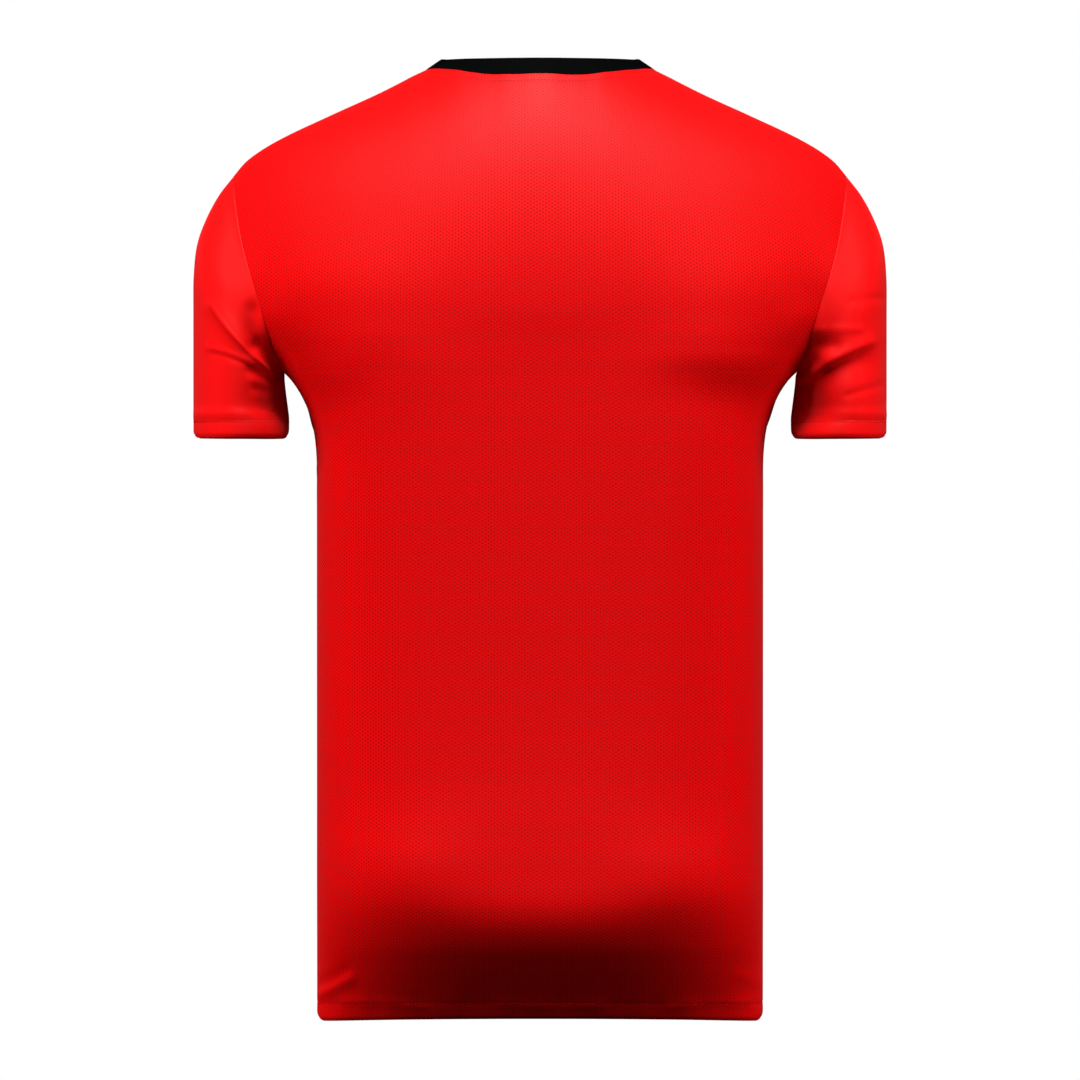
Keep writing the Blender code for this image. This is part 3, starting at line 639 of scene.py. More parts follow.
def sewn_grid(skin, hem_depth, ring):
    """The final points of a piece with its hem and seam edges turned in, and the length
    of cloth across and up at each."""
    lines = hem_lines(skin.heights, hem_depth)
    depths = list(ALLOWANCE_STEPS)
    rows = np.array([line.source for line in lines] + [-1] * len(depths))
    row_inset = np.array([line.inset for line in lines] + depths)
    columns = np.arange(skin.points.shape[1])
    column_inset = np.zeros(len(columns))
    points = skin.points.copy()
    points[-1] += unit(points[-2] - points[-1]) * SEAM_CLEARANCE
    if not ring:
        points[:, 0] += unit(points[:, 1] - points[:, 0]) * SEAM_CLEARANCE
        points[:, -1] += unit(points[:, -2] - points[:, -1]) * SEAM_CLEARANCE
        columns = np.concatenate(([0] * len(depths), columns, [-1] * len(depths)))
        column_inset = np.concatenate((depths[::-1], column_inset, depths))
    turn = seam_turn(skin.to_seam) + edge_roll(skin.heights)[:, None]
    points -= skin.away * turn[..., None]
    pick = np.ix_(rows, columns)
    inset = np.maximum(row_inset[:, None], column_inset)
    grid = points[pick] - skin.away[pick] * inset[..., None]
    lift = [line.height - skin.heights[line.source] for line in lines]
    grid[: len(lines), :, 2] += np.array(lift)[:, None]
    return grid, skin.across[pick], skin.up[pick]


def cloth_mesh(name, points, across, up, ring):
    """A mesh from one grid of points, with its UV map in metres of cloth."""
    rows, columns = across.shape
    flat = bmesh.new()
    flat.loops.layers.uv.new(CLOTH_MAP)
    bmesh.ops.create_grid(flat, x_segments=columns - 1, y_segments=rows - 1, size=1)
    mesh = bpy.data.meshes.new(name)
    flat.to_mesh(mesh)
    mesh.vertices.foreach_set("co", points.reshape(-1))
    corners = np.empty(len(mesh.loops), np.int32)
    mesh.loops.foreach_get("vertex_index", corners)
    places = np.stack((across, up), -1).reshape(-1, 2)[corners]
    mesh.uv_layers[CLOTH_MAP].data.foreach_set("uv", places.reshape(-1))
    mesh.transform(Matrix.Translation((0, 0, -BACK_LENGTH)))
    if ring:
        flat.clear()
        flat.from_mesh(mesh)
        bmesh.ops.remove_doubles(flat, verts=flat.verts, dist=WELD)
        flat.to_mesh(mesh)
    flat.free()
    mesh.shade_smooth()
    return mesh


# The skins of all pieces


def even_share(place):
    """The share of a panel's half width at a share of its cloth, which spaces the grid
    about evenly round the section's corners."""
    near, far = place**EVENNESS, (1 - place) ** EVENNESS
    return near / (near + far)


def panel_lines(step):
    """The shares across a panel, from -1 to 1, and the heights up it."""
    half = even_share(towards_seam(PANEL_HALF_ARC, step))
    half[np.argmin(np.abs(half - NECK_SHARE))] = NECK_SHARE
    turns = np.linspace(0, np.pi / 2, 1 + math.ceil(ARMHOLE_LOW_ARC / step))[1:]
    armpit = CHEST_HEIGHT - (CHEST_HEIGHT - ARMPIT_HEIGHT) * np.cos(turns)
    low = stepped(HEM_ROWS[-1] + step, ARMPIT_HEIGHT, step)
    arch = CHEST_HEIGHT + towards_seam(ARCH_ARC, step)[1:]
    ups = np.concatenate((HEM_ROWS, low, [ARMPIT_HEIGHT], armpit, arch))
    return np.concatenate((-half[::-1], half[1:])), ups


def panel_skin(back, across, ups):
    """A panel, and each of its points' distance from the neck seam."""
    points = panel_surface(-across if back else across, ups, back)
    from_neck = line_distance(points, points[-1, np.abs(across) <= NECK_SHARE])
    x, y, z = np.moveaxis(points, -1, 0)
    creases = creases_at(BACK_CREASES if back else FRONT_CREASES, points)
    relief = rises_at(BACK_RISES if back else (), points) * smooth(np.abs(y) / SIDE_FADE)
    relief += creases * smooth(np.abs(y) / CREASE_FADE)
    from_hem = np.abs(z - HEM_STITCH)
    beside_hem = np.exp(-((from_hem / HEM_RIPPLE_WIDTH) ** 2)) * smooth(np.abs(y) / SEAM_FADE)
    start = 0.0 if back else 2.0
    relief += HEM_RIPPLE * ripple(x, start) * beside_hem
    relief += NECK_RIPPLE * ripple(x, start + 1) * np.exp(-from_neck / NECK_RIPPLE_WIDTH)
    relief += groove(from_hem, HEM_GROOVE) + groove(from_neck - NECK_STITCH, NECK_GROOVE)
    return skin_of(points, ups, False, relief), from_neck


def ring_point(place, angle):
    """Points of the plain sleeve: angle 0 at the underarm, pi on the outer line."""
    outer, outer_height, inner, inner_height, half_depth = (
        curve(SLEEVE, column, place) for column in Ring._fields[1:]
    )
    level = np.zeros_like(outer)
    inside = np.stack((inner, level, inner_height), -1)
    outside = np.stack((outer, level, outer_height), -1)
    power = 2 / SLEEVE_SQUARENESS
    across = signed_power(-np.cos(angle), power)[..., None]
    back = (half_depth * signed_power(np.sin(angle), power))[..., None] * np.array((0, 1, 0))
    return (inside + outside) / 2 + (outside - inside) / 2 * across + back


def ring_angle(points):
    """The angles on the first sleeve ring that are level with an armhole's points, from
    the armpit round to the armpit."""
    inside, outside = ring_point(np.zeros(2), np.array((0, np.pi)))
    axis = (outside - inside) / 2
    across = np.clip((points - (inside + outside) / 2) @ axis / (axis @ axis), -1, 1)
    angle = np.arccos(-signed_power(across, SLEEVE_SQUARENESS / 2))
    angle = np.where(points[:, 1] >= 0, angle, 2 * np.pi - angle)
    angle[[0, -1]] = 0, 2 * np.pi
    return angle


def sleeve_skin(rim, creases, left, step):
    """A sleeve on its armhole rim, which runs from the armpit up the back and down the
    front. It is worked out on the wearer's left and flipped over for their right."""
    shares = 1 - towards_seam(SLEEVE_ARC, step)[1:]
    heights = np.concatenate((CUFF_ROWS, CUFF_ROWS[-1] + (1 - shares) * SLEEVE_ARC))
    shares = np.concatenate((np.ones(len(CUFF_ROWS)), shares))
    angle = ring_angle(rim)
    shape = rim - ring_point(np.zeros(len(rim)), angle)
    places = np.broadcast_to(shares[:, None] * SLEEVE[-1].number, (len(shares), len(rim)))
    fade = 1 - smooth(shares / ARMHOLE_FADE)
    points = ring_point(places, angle) + shape * fade[:, None, None]
    cuff = len(CUFF_ROWS)
    points[:cuff, :, 2] = CUFF_HEIGHT + np.array(CUFF_ROWS)[:, None]
    y = points[..., 1]
    leaving = smooth(shares / CREASE_START)[:, None]
    on_back, on_front = creases
    relief = creases_at(on_back, points) * smooth(y / SLEEVE_FADE) * leaving
    relief += creases_at(on_front, points) * smooth(-y / SLEEVE_FADE) * leaving
    from_hem = np.abs(points[..., 2] - CUFF_HEIGHT - CUFF_STITCH)
    relief += groove(from_hem, CUFF_GROOVE)
    around = arc(points, 1)
    relief += CUFF_RIPPLE * ripple(around, 0.0) * np.exp(-((from_hem / HEM_RIPPLE_WIDTH) ** 2))
    if left:
        points, relief = points[:, ::-1], relief[:, ::-1]
    else:
        points = points * np.array((-1, 1, 1))
    return skin_of(points, heights, True, relief)


def meet(one, one_places, other, other_places):
    """Gives two sewn edges the same outward vectors, so that they turn in together."""
    together = unit(one[one_places] + other[other_places])
    one[one_places] = together
    other[other_places] = together


Skins = namedtuple("Skins", "back front left right from_neck across")


@lru_cache
def jersey_skins(panel_step, sleeve_step):
    """The skins of all four panels, with sewn edges that meet."""
    across, ups = panel_lines(panel_step)
    back, back_from_neck = panel_skin(True, across, ups)
    front, front_from_neck = panel_skin(False, across, ups)
    shoulders = np.flatnonzero(np.abs(across) >= NECK_SHARE)
    meet(back.away[-1], shoulders, front.away[-1], shoulders[::-1])
    armpit = int(np.flatnonzero(ups == ARMPIT_HEIGHT)[0])
    count = len(ups) - armpit
    sleeves = []
    for left in (True, False):
        one, other = (0, -1) if left else (-1, 0)
        meet(back.away[:, one], slice(armpit), front.away[:, other], slice(armpit))

        def around(back_grid, front_grid):
            over = front_grid[armpit:-1, other][::-1]
            return np.concatenate((back_grid[armpit:, one], over))

        rim = around(back.points, front.points) * ((1, 1, 1) if left else (-1, 1, 1))
        creases = LEFT_CREASES if left else RIGHT_CREASES
        sleeve = sleeve_skin(rim, (creases, SLEEVE_FRONT_CREASES[left]), left, sleeve_step)
        order = slice(None, None, -1 if left else 1)
        shared = unit(around(back.away, front.away) + sleeve.away[-1, order])
        back.away[armpit:, one] = shared[:count]
        front.away[armpit:, other] = shared[count - 1 :][::-1]
        sleeve.away[-1, order] = shared
        sleeves.append(sleeve)
    from_neck = {True: back_from_neck, False: front_from_neck}
    return Skins(back, front, *sleeves, from_neck, across)


def spaced(line, values, places):
    """Values that belong to a line's points, at places measured along the line."""
    length = arc(line[None], 1)[0]
    return np.stack([np.interp(places, length, values[:, k]) for k in range(3)], -1)


# The collar


def neck_line(skins):
    """The neck seam and the panels' outward vectors at it: from the wearer's left round
    the nape, and back round the throat."""
    neck = np.abs(skins.across) <= NECK_SHARE
    edges = [(skin.points[-1, neck], skin.away[-1, neck]) for skin in (skins.back, skins.front)]
    return [np.concatenate((edges[0][k], edges[1][k][1:])) for k in (0, 1)]


def collar_profile(rise):
    """Rows of the rib band, from its seam allowance up the outside, over the fold and
    down the inside: height, inset, and a tilt from 0, facing out, to pi, facing in."""
    fold = COLLAR_WALL / 2
    straight = COLLAR_HEIGHT - fold
    steps = [*EDGE_STEPS, *stepped(EDGE_STEPS[-1] + rise, straight, rise)]
    rows = [(0.0, SEAM_ROLL + COLLAR_ALLOWANCE, 0.0), (0.0, SEAM_ROLL, 0.0)]
    rows += [(up, float(seam_turn(up)), 0.0) for up in steps]
    for k in range(COLLAR_TURN + 1):
        tilt = math.pi * k / COLLAR_TURN
        rows.append((straight + fold * math.sin(tilt), fold * (1 - math.cos(tilt)), tilt))
    rows += [(up, COLLAR_WALL, math.pi) for up in reversed(steps)]
    return np.array(rows)


def collar_grid(skins, rib_pitch, rib_depth, rise):
    """The points of the rib band, two columns to each rib, and the lengths of cloth
    across and up at each."""
    line, away = neck_line(skins)
    whole = arc(line[None], 1)[0, -1]
    places = np.linspace(0, whole, 2 * round(whole / rib_pitch) + 1)
    start, foot = spaced(line, line, places), unit(spaced(line, away, places))
    inwards = -unit((start + (0, SHOULDER_FORWARD, 0)) * (1, 1, 0))
    lean = np.radians(blend(COLLAR_LEAN, COLLAR_SIDE_LEAN, inwards[:, :1] ** 2))
    stand = inwards * np.sin(lean) + np.array((0, 0, 1)) * np.cos(lean)
    face = unit(foot - stand * np.sum(foot * stand, axis=1, keepdims=True))
    height, inset, tilt = (value[:, None, None] for value in collar_profile(rise).T)
    leaving = smooth(height / EDGE_STEPS[-1])
    inside = np.where(tilt > 0, face, blend(foot, face, leaving))
    rib = np.where(np.arange(len(places)) % 2, -rib_depth, rib_depth)[:, None] * leaving
    normal = face * np.cos(tilt) + stand * np.sin(tilt)
    up = stand * np.maximum(height, SEAM_CLEARANCE)
    level = COLLAR_LEVEL - start[:, 2] - COLLAR_HEIGHT * np.cos(lean[:, 0])
    level *= smooth((start[:, 1] + SHOULDER_FORWARD) / NECK_BACK * 2)
    up[..., 2] += level * height[..., 0] / COLLAR_HEIGHT
    points = start + up - inside * inset + normal * rib
    return points, np.broadcast_to(places, points.shape[:2]), arc(points, 0)


# Stitches


def level_line(skin, values, level):
    """Where values that fall up each column pass a level: the points there and the unit
    vectors out of the cloth."""
    column = np.flatnonzero(values[-1] < level)
    falling = values[:, column]
    row = len(values) - 1 - np.argmax(falling[::-1] > level, axis=0)
    low, high = values[row, column], values[row + 1, column]
    share = ((low - level) / (low - high))[:, None]
    points = blend(skin.points[row, column], skin.points[row + 1, column], share)
    return points, unit(blend(skin.away[row, column], skin.away[row + 1, column], share))


def row_line(skin, height):
    """The same for a height above the hem's edge."""
    fall = np.broadcast_to(-skin.heights[:, None], skin.across.shape)
    return level_line(skin, fall, -height)


Stitching = namedtuple("Stitching", "pitch length slant thread hole")


def add_stitches(threads, holes, line, away, how):
    """Sews along a line: a stitch is a thin rounded body that dives into the cloth at
    both ends, with a dark needle hole before it."""
    whole = arc(line[None], 1)[0, -1]
    starts = np.linspace(0, whole, 1 + round(whole / how.pitch))
    loose = 1 + STITCH_UNEVENNESS * np.sin(starts * 2 * math.pi / STITCH_WANDER)
    reach = how.length / 2 * loose
    centres = spaced(line, line, starts)
    before, after = (spaced(line, line, starts + end * reach) for end in (-1, 1))
    out = unit(spaced(line, away, starts))
    side = unit(np.cross(out, after - before))
    along = (after - before) / 2 + side * how.slant
    ball = new_ball()
    for centre, run, up in zip(centres, along, out):
        across = unit(np.cross(up, run))
        lift = centre + up * how.thread * STITCH_LIFT
        add_ball(threads, ball, lift, across * how.thread, up * how.thread, run)
        hole = centre - run * how.pitch / how.length
        add_ball(holes, ball, hole, across * how.hole, up * HOLE_RISE, unit(run) * how.hole)
    bpy.data.meshes.remove(ball)


def mesh_from(name, shape):
    """A mesh made from a bmesh, which is freed."""
    mesh = bpy.data.meshes.new(name)
    shape.to_mesh(mesh)
    shape.free()
    return mesh


def new_ball():
    shape = bmesh.new()
    bmesh.ops.create_uvsphere(shape, u_segments=BALL_SIDES, v_segments=BALL_RINGS, radius=1)
    return mesh_from("ball", shape)


def add_ball(mesh, ball, centre, *axes):
    """Joins a ball to a mesh, with three given half axes."""
    shaped = ball.copy()
    turn = Matrix([*map(Vector, axes)]).transposed().to_4x4()
    shaped.transform(Matrix.Translation(centre) @ turn)
    mesh.from_mesh(shaped)
    bpy.data.meshes.remove(shaped)


# Materials


def linear(code):
    """An sRGB hex colour as linear values."""
    parts = [int(code[k : k + 2], 16) / 255 for k in (1, 3, 5)]
    return [part / 12.92 if part <= 0.04045 else ((part + 0.055) / 1.055) ** 2.4 for part in parts]


def node(tree, kind, inputs=(), **settings):
    """Adds a node. inputs pairs each socket with a value, or with a socket to link."""
    made = tree.nodes.new(kind)
    for name, value in settings.items():
        setattr(made, name, value)
    for socket, value in inputs:
        if isinstance(value, bpy.types.NodeSocket):
            tree.links.new(value, made.inputs[socket])
        else:
            made.inputs[socket].default_value = value
    return made


def new_material(name, roughness, sheen=0.0, specular=0.5):
    """A material with a plain shader, and its tree and shader."""
    material = bpy.data.materials.new(name)
    material.use_nodes = True
    shader = material.node_tree.nodes["Principled BSDF"]
    shader.inputs["Roughness"].default_value = roughness
    shader.inputs["Sheen Weight"].default_value = sheen
    shader.inputs["Sheen Roughness"].default_value = SHEEN_ROUGHNESS
    shader.inputs["Specular IOR Level"].default_value = specular
    return material, material.node_tree, shader


def cloth_place(tree):
    return node(tree, "ShaderNodeUVMap", uv_map=CLOTH_MAP).outputs["UV"]


def noise(tree, place, scale):
    return node(tree, "ShaderNodeTexNoise", [("Vector", place), ("Scale", scale)]).outputs[0]


def vector_math(tree, operation, *values):
    return node(tree, "ShaderNodeVectorMath", enumerate(values), operation=operation).outputs


def add_scaled(tree, value, scale, other):
    """value * scale + other"""
    parts = [(0, value), (1, scale), (2, other)]
    return node(tree, "ShaderNodeMath", parts, operation="MULTIPLY_ADD").outputs[0]


def mix_colours(tree, shader, share, first, second):
    """Colours the shader: first where share is 0, and second where it is 1."""
    mix = [("Factor", share), ("A", (*first, 1)), ("B", (*second, 1))]
    mixed = node(tree, "ShaderNodeMix", mix, data_type="RGBA")
    tree.links.new(mixed.outputs["Result"], shader.inputs["Base Color"])


def add_relief(tree, shader, height, strength, distance, invert=False):
    bump = [("Strength", strength), ("Distance", distance), ("Height", height)]
    raised = node(tree, "ShaderNodeBump", bump, invert=invert)
    tree.links.new(raised.outputs[0], shader.inputs["Normal"])


def polyester_mesh_knit(colours):
    """Polyester eyelet knit: pinholes in columns, each column half a hole up from the
    next. The holes are matter, and painted darker as painted shade for the inside seen
    through them; the yarn between them has a soft sheen."""
    made = new_material("polyester_mesh_knit", KNIT_ROUGHNESS, sheen=0.03, specular=0.18)
    material, tree, shader = made
    cloth = cloth_place(tree)
    width = 2 * EYELET_COLUMN
    lattices = []
    for shift in (0.0, 0.5):
        turn = [("Vector", cloth), ("Scale", (1 / width, 1 / EYELET_ROW, 1))]
        turn.append(("Location", (shift, shift, 0)))
        placed = node(tree, "ShaderNodeMapping", turn, vector_type="POINT").outputs[0]
        part = vector_math(tree, "FRACTION", placed)[0]
        off = vector_math(tree, "SUBTRACT", part, (0.5, 0.5, 0))[0]
        real = vector_math(tree, "MULTIPLY", off, (width, EYELET_ROW, 0))[0]
        lattices.append(vector_math(tree, "LENGTH", real)["Value"])
    nearest = node(tree, "ShaderNodeMath", enumerate(lattices), operation="MINIMUM")
    low, high = (EYELET_RADIUS * share for share in EYELET_EDGE)
    edges = [("Value", nearest.outputs[0]), ("From Min", low), ("From Max", high)]
    edges += [("To Min", 1.0), ("To Max", 0.0)]
    hole = node(tree, "ShaderNodeMapRange", edges, interpolation_type="SMOOTHSTEP").outputs[0]
    # painted shade: the pinholes take the darker eyelet red, for the shade inside them
    mix_colours(tree, shader, hole, colours.red, colours.eyelet)
    rough = [("Value", hole), ("To Min", KNIT_ROUGHNESS), ("To Max", EYELET_ROUGHNESS)]
    rougher = node(tree, "ShaderNodeMapRange", rough)
    tree.links.new(rougher.outputs[0], shader.inputs["Roughness"])
    height = add_scaled(tree, noise(tree, cloth, MESH_GRAIN), MESH_GRAIN_SHARE, hole)
    add_relief(tree, shader, height, strength=0.35, distance=0.0003, invert=True)
    return material


def polyester_plain_knit(colours):
    """Plain polyester jersey: an even soft sheen, a fine grain and faint waves 7.5 mm
    apart along the sleeve. The knit's own wales are finer and aren't drawn. Its base
    colour is a lighter, pinker red than the body's: painted light and painted sheen."""
    made = new_material("polyester_plain_knit", KNIT_ROUGHNESS, sheen=0.03, specular=0.2)
    material, tree, shader = made
    # painted light and sheen: the sleeves' red is lighter and pinker than the body's
    shader.inputs["Base Color"].default_value = (*colours.sleeve, 1)
    cloth = cloth_place(tree)
    wave = [("Vector", cloth), ("Scale", WAVE_SCALE)]
    waves = node(tree, "ShaderNodeTexWave", wave, bands_direction="X").outputs["Fac"]
    height = add_scaled(tree, waves, WAVE_SHARE, noise(tree, cloth, PLAIN_GRAIN))
    add_relief(tree, shader, height, strength=0.15, distance=0.0002)
    return material


def black_rib_knit(colours):
    """Black polyester rib: matt, with a faint grain of loops."""
    material, tree, shader = new_material("black_rib_knit", roughness=0.7, specular=0.015)
    loops = noise(tree, cloth_place(tree), RIB_GRAIN)
    lighter = [RIB_LOOPS * part for part in colours.black]
    mix_colours(tree, shader, loops, colours.black, lighter)
    add_relief(tree, shader, loops, strength=0.3, distance=0.0003)
    return material


def grained(name, roughness, first, second):
    """A plain material with a fine grain of two colours."""
    material, tree, shader = new_material(name, roughness)
    place = node(tree, "ShaderNodeTexCoord").outputs["Object"]
    mix_colours(tree, shader, noise(tree, place, THREAD_GRAIN), first, second)
    return material


def polyester_thread(colours):
    """Spun polyester sewing thread: smooth and a little shiny, with a twist too fine to
    show, drawn as a light grain."""
    return grained("polyester_thread", 0.4, colours.thread, colours.red)


def needle_hole(colours):
    """Pierced knit beside a stitch: the shaded inside of the cloth, matt and dark."""
    return grained("needle_hole", 0.9, colours.hole, colours.eyelet)


# Pieces


def add_object(name, mesh, material):
    piece = bpy.data.objects.new(name, mesh)
    mesh.materials.append(material)
    bpy.context.scene.collection.objects.link(piece)
    return piece


def add_cloth(name, grid, ring, thickness, material, node_name):
    """A cloth piece with its thickness, in place of a CAD node of the same cut."""
    piece = add_object(name, cloth_mesh(name, *grid, ring), material)
    wall = piece.modifiers.new("Thickness", "SOLIDIFY")
    wall.thickness = thickness
    wall.offset = -1
    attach(piece, "root")
    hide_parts(node_name)
    return piece


def add_sewing(name, shape, material):
    bmesh.ops.translate(shape, verts=shape.verts, vec=(0, 0, -BACK_LENGTH))
    mesh = mesh_from(name, shape)
    mesh.shade_smooth()
    piece = add_object(name, mesh, material)
    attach(piece, "root")
    return piece


def number(name, description, default, **more):
    return bpy.props.FloatProperty(name=name, description=description, default=default, **more)


def size(name, description, default):
    return number(name, description, default, unit="LENGTH", precision=5, min=0)


def colour(name, description, code):
    return bpy.props.FloatVectorProperty(
        name=name, description=description, default=linear(code), subtype="COLOR", min=0, max=1
    )


class JerseySizes(bpy.types.PropertyGroup):
    """Sizes of the cloth and of its grids."""

    panel_step: size("Panel grid", "Spacing of the body's grid lines", 0.0031)
    sleeve_step: size("Sleeve grid", "Spacing of the sleeves' grid lines", 0.0018)
    collar_step: size("Collar grid", "Spacing of the collar's rows", 0.0012)
    cloth: size("Cloth", "Thickness of the body's and sleeves' cloth", 0.0009)
    rib: size("Rib", "Thickness of one layer of the collar", 0.0010)
    rib_pitch: size("Rib pitch", "Width of one rib of the collar", 0.0016)
    rib_depth: size("Rib depth", "How far a rib stands out from the middle", 0.00015)


class JerseySewing(bpy.types.PropertyGroup):
    """Sizes of the stitches."""

    neck_pitch: size("Neck pitch", "From one stitch to the next beside the collar", 0.0026)
    hem_pitch: size("Hem pitch", "From one stitch to the next along the hem", 0.0030)
    cuff_pitch: size("Cuff pitch", "From one stitch to the next round a cuff", 0.0026)
    thread: size("Thread", "Half the thread's thickness", 0.00018)
    hole: size("Needle hole", "Radius of a needle hole", 0.00055)
    slant: size("Cuff slant", "How far a cuff's stitches lean across their row", 0.0006)


class JerseyColours(bpy.types.PropertyGroup):
    """Colours of the cloth and thread."""

    red: colour("Red", "Body", "#E60305")
    # painted light and sheen: lighter and pinker than the body's red, for the stronger light and
    # sheen on the sleeves
    sleeve: colour("Sleeves", "Plain knit of the sleeves", "#F50B0D")
    # painted shade of the pinholes: a darker red for the shade seen inside them
    eyelet: colour("Eyelet", "Holes of the mesh knit", "#A60104")
    black: colour("Black", "Collar", "#030404")
    thread: colour("Thread", "Stitches", "#E8161A")
    hole: colour("Needle hole", "Holes beside the stitches", "#2E0002")


class JerseyStage(bpy.types.PropertyGroup):
    """The camera, light and floor."""

    distance: size("Camera distance", "From the camera to the side plane", 9.0)
    view_width: size("View width", "Width seen at the side plane", 0.8208)
    view_height: number("View height", "The camera's height", -0.355, unit="LENGTH")
    key: number("Key light", "Power of the large light above", 322.0, min=0)
    left: number("Left light", "Power of the light on the wearer's left", 155.0, min=0)
    right: number("Right light", "Power of the light on the wearer's right", 130.0, min=0)
    sky: number("Room light", "Strength of the room's light from above", 0.02, min=0)
    ground: number("Ground light", "Strength of the room's light from below", 0.0, min=0)
    floor: colour("Floor", "Plain pale floor", "#E9E9E9")


def skins_now(context):
    """The scene's sizes, and the skins in those sizes."""
    sizes = context.scene.jersey_sizes
    return sizes, jersey_skins(sizes.panel_step, sizes.sleeve_step)


class JERSEY_OT_panels(bpy.types.Operator):
    """Build the back and the front"""

    bl_idname = "jersey.panels"
    bl_label = "Back and front"

    def execute(self, context):
        sizes, skins = skins_now(context)
        material = polyester_mesh_knit(context.scene.jersey_colours)
        for name, skin in (("back", skins.back), ("front", skins.front)):
            grid = sewn_grid(skin, HEM_DEPTH, False)
            piece = add_cloth(f"{name}_cloth", grid, False, sizes.cloth, material, name)
        return {"FINISHED"}


class JERSEY_OT_sleeves(bpy.types.Operator):
    """Build the two sleeves"""

    bl_idname = "jersey.sleeves"
    bl_label = "Sleeves"

    def execute(self, context):
        sizes, skins = skins_now(context)
        material = polyester_plain_knit(context.scene.jersey_colours)
        for name, skin in (("sleeve_left", skins.left), ("sleeve_right", skins.right)):
            grid = sewn_grid(skin, CUFF_DEPTH, True)
            piece = add_cloth(f"{name}_cloth", grid, True, sizes.cloth, material, name)
        return {"FINISHED"}


class JERSEY_OT_collar(bpy.types.Operator):
    """Build the rib collar"""

    bl_idname = "jersey.collar"
    bl_label = "Collar"

    def execute(self, context):
        sizes, skins = skins_now(context)
        grid = collar_grid(skins, sizes.rib_pitch, sizes.rib_depth, sizes.collar_step)
        material = black_rib_knit(context.scene.jersey_colours)
        piece = add_cloth("collar_rib", grid, True, sizes.rib, material, "collar")
        return {"FINISHED"}


class JERSEY_OT_stitches(bpy.types.Operator):
    """Sew the neck, hem and cuffs"""

    bl_idname = "jersey.stitches"
    bl_label = "Stitches"

    def execute(self, context):
        skins, sewing = skins_now(context)[1], context.scene.jersey_sewing
        threads, holes = bmesh.new(), bmesh.new()
        neck, hem, cuff = (
            Stitching(pitch, share * pitch, slant, sewing.thread, hole)
            for pitch, share, slant, hole in (
                (sewing.neck_pitch, NECK_STITCH_SHARE, 0, sewing.hole),
                (sewing.hem_pitch, HEM_STITCH_SHARE, 0, sewing.thread),
                (sewing.cuff_pitch, HEM_STITCH_SHARE, sewing.slant, sewing.hole),
            )
        )
        for back, skin in ((True, skins.back), (False, skins.front)):
            line = level_line(skin, skins.from_neck[back], NECK_STITCH)
            add_stitches(threads, holes, *line, neck)
            add_stitches(threads, holes, *row_line(skin, HEM_STITCH), hem)
        for skin in (skins.left, skins.right):
            add_stitches(threads, holes, *row_line(skin, CUFF_STITCH), cuff)
        colours = context.scene.jersey_colours
        add_sewing("stitches", threads, polyester_thread(colours))
        add_sewing("needle_holes", holes, needle_hole(colours))
        return {"FINISHED"}


class JERSEY_OT_stage(bpy.types.Operator):
    """Set up the floor, light and camera"""

    bl_idname = "jersey.stage"
    bl_label = "Stage"

    def execute(self, context):
        scene, stage = context.scene, context.scene.jersey_stage
        scene.view_settings.view_transform = "Standard"
        floor = bmesh.new()
        bmesh.ops.create_circle(floor, cap_ends=True, radius=FLOOR_RADIUS, segments=FLOOR_SIDES)
        bmesh.ops.translate(floor, verts=floor.verts, vec=(0, 0, FLOOR_HEIGHT))
        paint, _, shader = new_material("matt_floor_paint", roughness=0.9)
        shader.inputs["Base Color"].default_value = (*stage.floor, 1)
        ground = add_object("floor", mesh_from("floor", floor), paint)
        ground.visible_diffuse = False
        ground.visible_glossy = False
        room_light(scene, stage)
        add_light("key", KEY_PLACE, KEY_SIZE, stage.key)
        for name, place, width, power in (
            ("left", LEFT_PLACE, LEFT_SIZE, stage.left),
            ("right", RIGHT_PLACE, RIGHT_SIZE, stage.right),
        ):
            add_light(name, place, width, power).visible_glossy = False
        lens = bpy.data.cameras.new("camera")
        lens.sensor_width = SENSOR
        lens.lens = SENSOR * stage.distance / stage.view_width
        lens.clip_end = VIEW_END
        camera = bpy.data.objects.new("camera", lens)
        camera.location = (0, stage.distance, stage.view_height)
        camera.rotation_euler = (math.pi / 2, 0, math.pi)
        scene.collection.objects.link(camera)
        scene.camera = camera
        return {"FINISHED"}


def add_light(name, place, width, power):
    """A square soft light that looks at the jersey and isn't seen itself."""
    light = bpy.data.lights.new(name, "AREA")
    light.size = width
    light.energy = power
    lamp = bpy.data.objects.new(name, light)
    lamp.location = place
    lamp.rotation_euler = (Vector(LIT_PLACE) - Vector(place)).to_track_quat("-Z", "Y").to_euler()
    lamp.visible_camera = False
    bpy.context.scene.collection.objects.link(lamp)
    return lamp


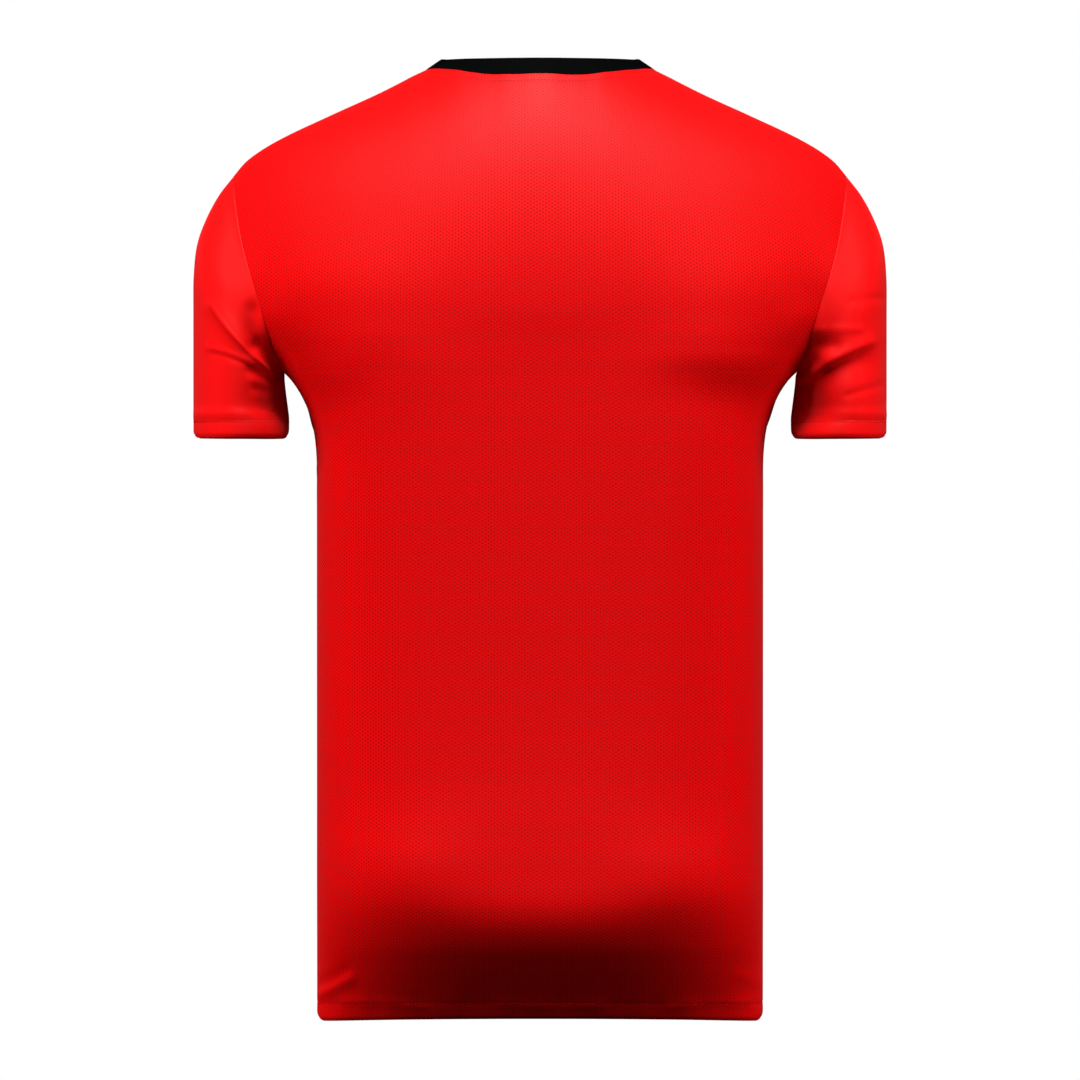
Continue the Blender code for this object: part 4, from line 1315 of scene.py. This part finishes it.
def room_light(scene, stage):
    """A plain white room, bright above and dim below in what it casts on the cloth."""
    world = bpy.data.worlds.new("room")
    world.use_nodes = True
    scene.world = world
    tree = world.node_tree
    tree.nodes.clear()
    way = node(tree, "ShaderNodeTexCoord").outputs["Generated"]
    up = node(tree, "ShaderNodeSeparateXYZ", [("Vector", way)]).outputs["Z"]
    ends = [("Value", up), ("From Min", ROOM_LOW), ("To Min", stage.ground), ("To Max", stage.sky)]
    strength = node(tree, "ShaderNodeMapRange", ends).outputs[0]
    cast = node(tree, "ShaderNodeBackground", [("Color", (1, 1, 1, 1)), ("Strength", strength)])
    seen = node(tree, "ShaderNodeBackground", [("Color", (1, 1, 1, 1))])
    path = node(tree, "ShaderNodeLightPath").outputs["Is Camera Ray"]
    parts = [(0, path), (1, cast.outputs[0]), (2, seen.outputs[0])]
    mixed = node(tree, "ShaderNodeMixShader", parts)
    node(tree, "ShaderNodeOutputWorld", [("Surface", mixed.outputs[0])])


class JERSEY_PT_pieces(bpy.types.Panel):
    """Sizes, colours and pieces of the jersey"""

    bl_idname = "JERSEY_PT_pieces"
    bl_label = "Football Jersey"
    bl_space_type = "VIEW_3D"
    bl_region_type = "UI"
    bl_category = "Jersey"

    def draw(self, context):
        for name in GROUPS:
            group = getattr(context.scene, name)
            box = self.layout.box()
            for key in group.__annotations__:
                box.prop(group, key)
        for operator in OPERATORS:
            self.layout.operator(operator.bl_idname)


GROUPS = {
    "jersey_sizes": JerseySizes,
    "jersey_sewing": JerseySewing,
    "jersey_colours": JerseyColours,
    "jersey_stage": JerseyStage,
}
OPERATORS = (
    JERSEY_OT_panels,
    JERSEY_OT_sleeves,
    JERSEY_OT_collar,
    JERSEY_OT_stitches,
    JERSEY_OT_stage,
)


def register():
    for name, group in GROUPS.items():
        bpy.utils.register_class(group)
        setattr(bpy.types.Scene, name, bpy.props.PointerProperty(type=group))
    for kind in (*OPERATORS, JERSEY_PT_pieces):
        bpy.utils.register_class(kind)


def unregister():
    for kind in reversed((*OPERATORS, JERSEY_PT_pieces)):
        bpy.utils.unregister_class(kind)
    for name, group in GROUPS.items():
        delattr(bpy.types.Scene, name)
        bpy.utils.unregister_class(group)


def main():
    register()
    bpy.ops.jersey.panels()
    bpy.ops.jersey.sleeves()
    bpy.ops.jersey.collar()
    bpy.ops.jersey.stitches()
    bpy.ops.jersey.stage()


if __name__ == "__main__":
    main()
